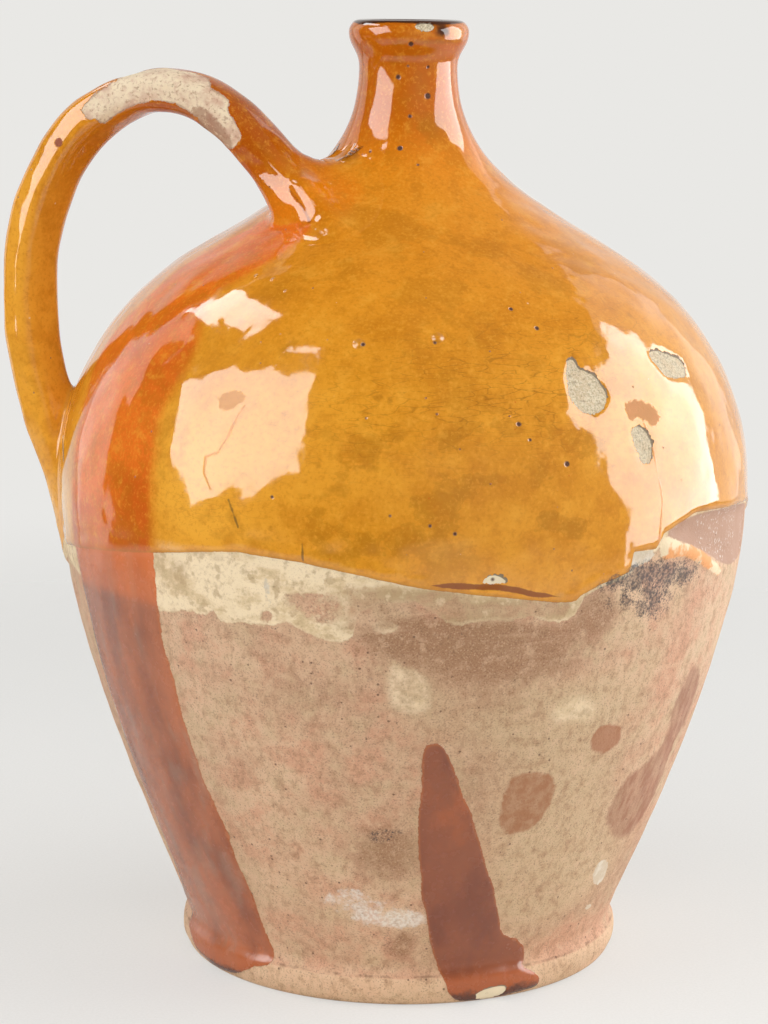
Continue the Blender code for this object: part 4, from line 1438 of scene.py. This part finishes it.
class Net:
    """A node tree, made by short calls that hand on sockets. A name stands for a noise or a mesh's field."""

    def __init__(self, owner, shader="Principled BSDF", place="Object"):
        owner.use_nodes = True
        self.tree = owner.node_tree
        self.shader = self.tree.nodes[shader]
        self.place = self.node("ShaderNodeTexCoord").outputs[place]
        self.known = {}

    def node(self, kind, **settings):
        made = self.tree.nodes.new(kind)
        for name, value in settings.items():
            setattr(made, name, value)
        return made

    def feed(self, socket, value):
        value = self.named(value) if isinstance(value, str) else value
        if isinstance(value, bpy.types.NodeSocket):
            self.tree.links.new(value, socket)
        else:
            socket.default_value = value

    def filled(self, kind, inputs, **settings):
        """A node with its inputs fed by name or number."""
        made = self.node(kind, **settings)
        for name, value in inputs.items():
            self.feed(made.inputs[name], value)
        return made

    def named(self, name):
        """The noise or field of a name, made once."""
        if name not in self.known:
            made = self.noise(*NOISES[name]) if name in NOISES else self.field(name)
            self.known[name] = made
        return self.known[name]

    def field(self, name):
        return self.node("ShaderNodeAttribute", attribute_name=name).outputs["Fac"]

    def noise(self, scale, detail, roughness, stretch):
        place = self.place if stretch == EVEN else self.stretched(stretch)
        inputs = {"Vector": place, "Scale": scale, "Detail": detail, "Roughness": roughness}
        return self.filled("ShaderNodeTexNoise", inputs).outputs["Fac"]

    def stretched(self, scale):
        return self.filled("ShaderNodeMapping", {"Vector": self.place, "Scale": scale}).outputs["Vector"]

    def math(self, operation, *values):
        return self.filled("ShaderNodeMath", dict(enumerate(values)), operation=operation).outputs[0]

    def vector(self, operation, **inputs):
        """A vector node, with first, second and scale as its inputs."""
        places = {"first": 0, "second": 1, "scale": "Scale"}
        inputs = {places[name]: value for name, value in inputs.items()}
        return self.filled("ShaderNodeVectorMath", inputs, operation=operation)

    def times(self, first, second):
        return self.math("MULTIPLY", first, second)

    def without(self, share):
        return self.math("SUBTRACT", 1.0, share)

    def most(self, *values):
        result = values[0]
        for value in values[1:]:
            result = self.math("MAXIMUM", result, value)
        return result

    def total(self, *terms):
        """The sum of values times factors."""
        result = self.times(*terms[0])
        for value, factor in terms[1:]:
            result = self.math("MULTIPLY_ADD", value, factor, result)
        return result

    def roughened(self, value, *rough):
        """A value with noises added, each as far either way as half its spread."""
        for noise, spread in rough:
            value = self.math("ADD", value, self.math("MULTIPLY_ADD", noise, spread, -spread / 2))
        return value

    def ease(self, value, low, high, start=0.0, end=1.0):
        """An eased step from start where value is low to end where it is high."""
        value = self.roughened(*value) if isinstance(value, tuple) else value
        inputs = {"Value": value, "From Min": low, "From Max": high, "To Min": start, "To Max": end}
        return self.filled("ShaderNodeMapRange", inputs, interpolation_type="SMOOTHSTEP").outputs["Result"]

    def product(self, steps):
        """Eased steps multiplied together."""
        result = self.ease(*steps[0])
        for step in steps[1:]:
            result = self.times(result, self.ease(*step))
        return result

    def beside(self, value, centre, off, full, strength=1.0):
        """A share that is full near where a value has a centre, and off further away."""
        away = self.math("ABSOLUTE", self.math("SUBTRACT", value, centre))
        return self.ease(away, off, full, 0.0, strength)

    def blend(self, share, base, over):
        """One colour over another by a share."""
        base, over = [paint(c) if isinstance(c, tuple) else c for c in (base, over)]
        return self.filled("ShaderNodeMix", {0: share, 6: base, 7: over}, data_type="RGBA").outputs[2]

    def level(self, share, base, over):
        """One number over another by a share."""
        return self.filled("ShaderNodeMix", {0: share, 2: base, 3: over}, data_type="FLOAT").outputs[0]

    def layers(self, colour, rows):
        """A colour with layers over it."""
        for what, start, full, strength, over in rows:
            colour = self.blend(self.ease(what, start, full, 0.0, strength), colour, over)
        return colour

    def dots(self, scale, size, share):
        """Round dots strewn at a scale, of a size in spacings, at a share of the places."""
        cells = self.filled("ShaderNodeTexVoronoi", {"Vector": self.place, "Scale": scale}, feature="F1")
        chance = self.filled("ShaderNodeSeparateColor", {0: cells.outputs["Color"]})
        inside = self.ease(cells.outputs["Distance"], size, DOT_EDGE_RATIO * size)
        return self.times(inside, self.math("LESS_THAN", chance.outputs[0], share))


def clay_colour(net, pits):
    """Bare fired clay: drifts of rose, beige and brown, wiped streaks, grit and pits."""
    colour = net.layers(CLAY, CLAY_LAYERS)
    line = net.times(net.beside(*FOOT_LINE), net.ease(*FOOT_LINE_BREAKS))
    colour = net.blend(line, colour, CLAY_DARK)
    return net.blend(net.times(pits, PIT_SHADE), colour, CLAY_DARK)


def slip_colour(net):
    """Dry white slip, greyed and grimed in places, pale along its edge."""
    colour = net.layers(SLIP_CREAM, SLIP_LAYERS)
    colour = net.blend(net.product(SLIP_RIM), colour, SLIP_PALE)
    return net.layers(colour, SLIP_GRIME)


def run_colour(net):
    """Glaze that ran over bare clay: thick brown in the middle, thin and orange at the rim, with painted
    light and sheen on the left side.
    """
    colour = net.layers(RUN_BROWN, RUN_LAYERS)
    colour = net.blend(net.times("left", net.ease("run_flow", *RUN_LIT)), colour, RUN_PALE)
    colour = net.blend(net.times("left", net.ease("run_dust_and_sheen", *RUN_DUST_AND_SHEEN)), colour, RUN_GREY)
    return net.blend("warm", net.layers(colour, RUN_EDGES), ORANGE)


def glaze_colour(net, over_slip):
    """Honey glaze over slip and orange over bare clay, clouded, speckled, crazed and partly painted with
    light and shade.
    """
    honey = net.layers(HONEY, HONEY_LAYERS)
    for field, tone in HONEY_TONES:
        honey = net.blend(field, honey, tone)
    honey = net.layers(honey, HONEY_CREAM_AND_HIGHLIGHT)
    bare = net.layers(ORANGE, ORANGE_LAYERS)
    bare = net.blend(net.times(net.without("warm"), COLD_ORANGE), bare, RUN_BROWN)
    colour = clouded(net, net.blend(over_slip, bare, honey))
    colour = net.layers(colour, GLAZE_LAYERS)
    colour = net.blend(net.times(net.dots(*EMBERS), EMBER_GLOW), colour, ORANGE_DEEP)
    colour = net.blend(net.times(net.dots(*GLINTS), GLINT_GLOW), colour, SLIP_PALE)
    colour = net.blend(craze_lines(net), colour, CRAZE_BROWN)
    return net.blend(fold_share(net), colour, GROOVE_SHADE_RED)


def clouded(net, colour):
    """Brown clouds in the glaze, with a darker line round them."""
    cloud = net.ease(("cloud", (net.ease(*CLOUD_BREAKS), CLOUD_SPREAD)), *CLOUD_EDGE)
    colour = net.blend(net.times(cloud, CLOUD_SHADE), colour, CLOUD_BROWN)
    line = net.times(net.beside(cloud, *CLOUD_LINE), net.ease(*CLOUD_LINE_PLACES))
    return net.blend(line, colour, CLOUD_BROWN)


def fold_share(net):
    """Painted shade in the groove where the glaze folded over just above its edge."""
    inside = net.math("SUBTRACT", "fold_half", net.math("ABSOLUTE", "fold"))
    return net.ease((inside, FOLD_RAGGED), *FOLD_EDGE)


def craze_lines(net):
    """Fine broken cracks in the glaze."""
    drift = net.filled("ShaderNodeTexNoise", {"Vector": net.place, "Scale": CRAZE_BEND_SCALE})
    moved = net.vector("SCALE", first=drift.outputs["Color"], scale=CRAZE_BEND)
    bent = net.vector("ADD", first=net.stretched(CRAZE_STRETCH), second=moved.outputs[0])
    inputs = {"Vector": bent.outputs[0], "Scale": CRAZE_SCALE}
    cells = net.filled("ShaderNodeTexVoronoi", inputs, feature="DISTANCE_TO_EDGE")
    thin = net.ease(cells.outputs["Distance"], *CRAZE_LINE)
    strength = net.math("MULTIPLY_ADD", "craze", CRAZE_GAIN, CRAZE_BASE)
    return net.times(thin, net.times(strength, net.ease(*CRAZE_BREAKS)))


def least(net, distances):
    nearest = distances[0]
    for distance in distances[1:]:
        nearest = net.math("MINIMUM", nearest, distance)
    return nearest


def dot_distance(net, dots):
    """Metres outside the nearest of some dots, given by pixel and radius in millimetres."""
    edges = []
    for place, (_, _, radius) in zip(seen_points([dot[:2] for dot in dots]), dots):
        away = net.vector("DISTANCE", first=net.place, second=place.tolist())
        edges.append(net.math("SUBTRACT", away.outputs["Value"], radius / 1000))
    return least(net, edges)


def line_share(net, lines, half, edge, strength):
    """Thin lines given in pixels, of a half width and edge in millimetres, wandering with noise."""
    distances = []
    for line in lines:
        points = seen_points(line)
        distances += [segment_distance(net, start, end) for start, end in zip(points[:-1], points[1:])]
    away = (least(net, distances), ("mottle", LINE_WANDER))
    return net.ease(away, (half + edge) / 1000, half / 1000, 0.0, strength)


def segment_distance(net, start, end):
    """Metres from a straight line between two points."""
    side = end - start
    away = net.vector("SUBTRACT", first=net.place, second=start.tolist()).outputs[0]
    along = net.vector("DOT_PRODUCT", first=away, second=(side / (side @ side)).tolist())
    share = net.filled("ShaderNodeClamp", {"Value": along.outputs["Value"]}).outputs[0]
    foot = net.vector("SCALE", first=side.tolist(), scale=share).outputs[0]
    return net.vector("DISTANCE", first=away, second=foot).outputs["Value"]


def soot_share(net):
    """Broken clumps of soot."""
    clumps = net.math("ADD", *[net.ease(*step) for step in SOOT_CLUMPS])
    return net.times(net.ease(("soot", (clumps, SOOT_SPREAD)), *SOOT_EDGE), net.product(SOOT_PLACES))


def coats(net):
    """The share of each coat, mark, painted shade and painted highlight at a point, by name."""
    share = {name: net.product(steps) for name, steps in COATS.items()}
    thin = net.math("ADD", "thin", net.ease(*SLIP_WORN))
    share["slip"] = net.times(share["slip"], net.ease(thin, *SLIP_THINNED))
    share.update({name: line_share(net, *row) for name, row in LINES.items()})
    for name, (dots, start, full) in PLACED_DOTS.items():
        share[name] = net.ease(dot_distance(net, dots), start, full)
    share["chip"] = net.most(share["chip"], share["nick"])
    share["soot"] = soot_share(net)
    share["specks"] = net.dots(*SPECKS)
    share["freckles"] = net.times(net.times(share["specks"], share["glaze"]), SPECK_SHADE)
    crowd = net.math("MULTIPLY_ADD", "pitted", PITTED_CROWD, net.ease(*PIT_CROWD))
    share["pits"] = net.dots(PIT_SCALE, PIT_SIZE, crowd)
    return share


def coat_colour(net, share):
    """Each coat and mark over the ones below it, among them painted shade in the crease and beside the
    pimples.
    """
    slip = slip_colour(net)
    over = (
        ("slip", slip), ("patch", slip), ("spot", SPOT_TAN), ("stain", STAIN_RED), ("mark", SPOT_BROWN),
        ("chalk", CHALK), ("flake", net.layers(FLAKE_GREY, FLAKE_LAYERS)),
        ("facet", net.blend(net.product(FACET_SPARKLE), FACET_MAUVE, CHALK)), ("run", run_colour(net)),
        ("glaze", glaze_colour(net, share["under"])), ("ridge", net.layers(SLIP_PALE, RIDGE_LAYERS)),
        ("bald", net.layers(BALD_BROWN, BALD_LAYERS)), ("faint", FAINT_TAN), ("blot", BLOT_BROWN),
        ("freckles", SPECK_BROWN), ("soot", SOOT_BLACK), ("crack", CRACK_BROWN), ("crease", GROOVE_SHADE_RED),
        ("scratch", CHIP_DARK), ("burn", PIN_BROWN), ("chip", net.layers(CHIP_GREY, CHIP_LAYERS)),
        ("wear", net.layers(WEAR_GREY, WORN_LAYERS)), ("pins_and_pimple_shade", PIN_BROWN),
    )
    colour = clay_colour(net, share["pits"])
    for name, coat in over:
        colour = net.blend(share[name], colour, coat)
    return colour


def coat_roughness(net, share, dull):
    rough = net.level(share["run"], net.ease(*CLAY_ROUGH), net.ease(*RUN_ROUGH))
    rough = net.level(share["glaze"], rough, net.ease(*GLAZE_ROUGH))
    return net.level(dull, rough, MATT_ROUGH)


def coat_relief(net, share, dull):
    """Fine height in millimetres: grit and pits on bare clay, ripples in the glaze, steps at edges."""
    shiny = net.most(share["glaze"], share["run"])
    bare = net.most(net.without(shiny), dull)
    grit = net.total(("grain", GRAIN_GRIT), ("fine", FINE_GRIT), (share["pits"], -PIT_HOLE))
    ripple = net.total(("glaze_ripple", BROAD_RIPPLE), ("mottle", MOTTLE_RIPPLE))
    open_slip = net.times(share["slip"], net.without(share["glaze"]))
    return net.total(
        (grit, bare), (ripple, shiny), (shiny, GLAZE_STEP), (open_slip, SLIP_STEP),
        (share["pins_and_pimple_shade"], -PIN_HOLE), (share["pimples"], PIMPLE_BUMP),
        (net.most(share["chip"], share["wear"]), -CHIP_STEP),
    )


def earthenware(name):
    """Part glazed earthenware, its coats laid out by the mesh's fields."""
    material = bpy.data.materials.new(name)
    net = Net(material)
    share = coats(net)
    dull = net.most(*[share[name] for name in MATT_COATS])
    net.feed(net.shader.inputs["Base Color"], coat_colour(net, share))
    net.feed(net.shader.inputs["Roughness"], coat_roughness(net, share, dull))
    net.shader.inputs["IOR"].default_value = GLAZE_IOR
    bump = net.filled("ShaderNodeBump", {"Height": coat_relief(net, share, dull), "Distance": BUMP_UNIT})
    net.feed(net.shader.inputs["Normal"], bump.outputs["Normal"])
    return material


# Studio lamps: degrees round from the camera's side and up, distance, width and height in metres, for the
# gloss lamps a roll in degrees, and radiance
TARGET = Vector((0.0, 0.0, 0.21))
SOFT_LAMPS = (
    ("left_soft", -66, 28, 1.35, 1.40, 1.10, 2.2),
    ("right_soft", 96, 24, 1.35, 1.40, 1.00, 2.9),
    ("front_soft", 6, 18, 1.90, 1.80, 1.00, 1.65),
    ("top_soft", 20, 70, 1.60, 1.20, 1.20, 0.8),
)
GLOSS_LAMPS = (
    ("left_window", -60.7, 25.8, 1.30, 0.99, 1.09, 30.0, 5.0),
    ("right_window", 93.4, 13.6, 1.30, 1.19, 1.34, 9.5, 4.8),
    ("high_window", -113.9, 50.2, 1.50, 0.73, 0.29, 34.9, 5.6),
    ("high_gap", -58.7, 57.4, 1.50, 0.19, 0.08, 13.7, 5.5),
    ("left_panel", -121.0, 9.0, 1.60, 0.62, 1.80, 4.0, 0.9),
    ("right_panel", 128.0, 18.0, 1.60, 0.90, 1.70, 0.0, 0.6),
)
SKY_BACK = 1.05
SKY_LEFT = 0.06
SKY_RIGHT = 0.45
SKY_TOP_SHARE = 0.50
SKY_SIDE_EDGE = (-0.3, 0.5)
SKY_BACK_EDGE = (0.55, 0.80)
SKY_TOP_EDGE = (0.25, 0.85)
LAMP_POWER = 4.0
FLOOR_GLOW = 0.6
FLOOR_REACH = 1.4
FLOOR_FADE = (0.45, 1.0)
FLOOR_WEAVE = (0.3, 0.7)
FLOOR_ROUGHNESS = 0.9
FLOOR_SHINE = 0.1


def direction(turn, rise):
    """The way out from the jug at degrees round from the camera's side and up."""
    turn, rise = math.radians(turn), math.radians(rise)
    return Vector((math.sin(turn) * math.cos(rise), -math.cos(turn) * math.cos(rise), math.sin(rise)))


def area_light(name, turn, rise, far, wide, tall, roll, radiance, glossy):
    """A lamp that faces the jug, seen either by matt surfaces or by shine alone."""
    light = bpy.data.lights.new(name, "AREA")
    light.shape = "RECTANGLE"
    light.size, light.size_y = wide, tall
    light.energy = radiance * wide * tall * LAMP_POWER
    back = direction(turn, rise)
    side = Vector((0, 0, 1)).cross(back).normalized()
    axes = Matrix((side, back.cross(side), back)).transposed() @ Matrix.Rotation(math.radians(roll), 3, "Z")
    lamp = bpy.data.objects.new(name, light)
    lamp.matrix_world = Matrix.Translation(TARGET + back * far) @ axes.to_4x4()
    lamp.visible_camera = False
    lamp.visible_diffuse = not glossy
    lamp.visible_glossy = glossy
    bpy.context.scene.collection.objects.link(lamp)


def make_lights():
    for name, turn, rise, far, wide, tall, radiance in SOFT_LAMPS:
        area_light(name, turn, rise, far, wide, tall, 0.0, radiance, False)
    for name, turn, rise, far, wide, tall, roll, radiance in GLOSS_LAMPS:
        area_light(name, turn, rise, far, wide, tall, roll, radiance, True)


def make_world():
    """A pale room behind the jug, dim towards the camera and overhead."""
    world = bpy.data.worlds.new("studio")
    bpy.context.scene.world = world
    net = Net(world, "Background", "Generated")
    way = net.filled("ShaderNodeSeparateXYZ", {0: net.place}).outputs
    sides = net.ease(way["X"], *SKY_SIDE_EDGE, SKY_LEFT, SKY_RIGHT)
    walls = net.level(net.ease(way["Y"], *SKY_BACK_EDGE), sides, SKY_BACK)
    room = net.times(walls, net.ease(way["Z"], *SKY_TOP_EDGE, 1.0, SKY_TOP_SHARE))
    seen = net.node("ShaderNodeLightPath").outputs["Is Camera Ray"]
    net.shader.inputs["Color"].default_value = paint(BACKDROP)
    net.feed(net.shader.inputs["Strength"], net.level(seen, room, 1.0))


def floor_material():
    """Pale and matt, lifted a little for the camera, and gone with distance."""
    material = bpy.data.materials.new("pale_floor")
    net = Net(material)
    weave = net.ease("floor_weave", *FLOOR_WEAVE)
    net.feed(net.shader.inputs["Base Color"], net.blend(weave, BACKDROP, FLOOR_PALE))
    net.shader.inputs["Roughness"].default_value = FLOOR_ROUGHNESS
    net.shader.inputs["Specular IOR Level"].default_value = FLOOR_SHINE
    far = net.vector("LENGTH", first=net.place).outputs["Value"]
    seen = net.node("ShaderNodeLightPath").outputs["Is Camera Ray"]
    glow = net.filled("ShaderNodeEmission", {"Color": paint(BACKDROP)})
    shine = net.times(seen, FLOOR_GLOW)
    lifted = net.filled("ShaderNodeMixShader", {0: shine, 1: net.shader.outputs[0], 2: glow.outputs[0]})
    clear = net.node("ShaderNodeBsdfTransparent").outputs[0]
    fade = net.ease(far, *FLOOR_FADE)
    faded = net.filled("ShaderNodeMixShader", {0: fade, 1: lifted.outputs[0], 2: clear})
    net.feed(net.tree.nodes["Material Output"].inputs["Surface"], faded.outputs[0])
    return material


def make_floor():
    mesh = bpy.data.meshes.new("floor")
    corners = [(x * FLOOR_REACH, y * FLOOR_REACH, 0.0) for x, y in ((-1, -1), (1, -1), (1, 1), (-1, 1))]
    mesh.from_pydata(corners, [], [(0, 1, 2, 3)])
    mesh.materials.append(floor_material())
    floor = bpy.data.objects.new("floor", mesh)
    bpy.context.scene.collection.objects.link(floor)


def make_camera():
    camera = bpy.data.cameras.new("camera")
    camera.lens, camera.sensor_width = LENS, SENSOR
    viewer = bpy.data.objects.new("camera", camera)
    turn = Matrix(np.stack([RIGHT, UPWARD, -FORWARD], axis=1).tolist()).to_4x4()
    viewer.matrix_world = Matrix.Translation(Vector(CAMERA_PLACE)) @ turn
    bpy.context.scene.collection.objects.link(viewer)
    bpy.context.scene.camera = viewer


def main():
    body = make_body(earthenware("glazed_earthenware"))
    handle = make_handle(earthenware("glazed_handle"))
    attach(body, "root")
    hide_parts("foot", "lower_wall", "shoulder", "neck", "lip")
    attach(handle, "root")
    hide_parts("handle", "handle_upper_root", "handle_lower_root")
    make_floor()
    make_lights()
    make_world()
    make_camera()
    bpy.context.scene.view_settings.view_transform = "Standard"


main()
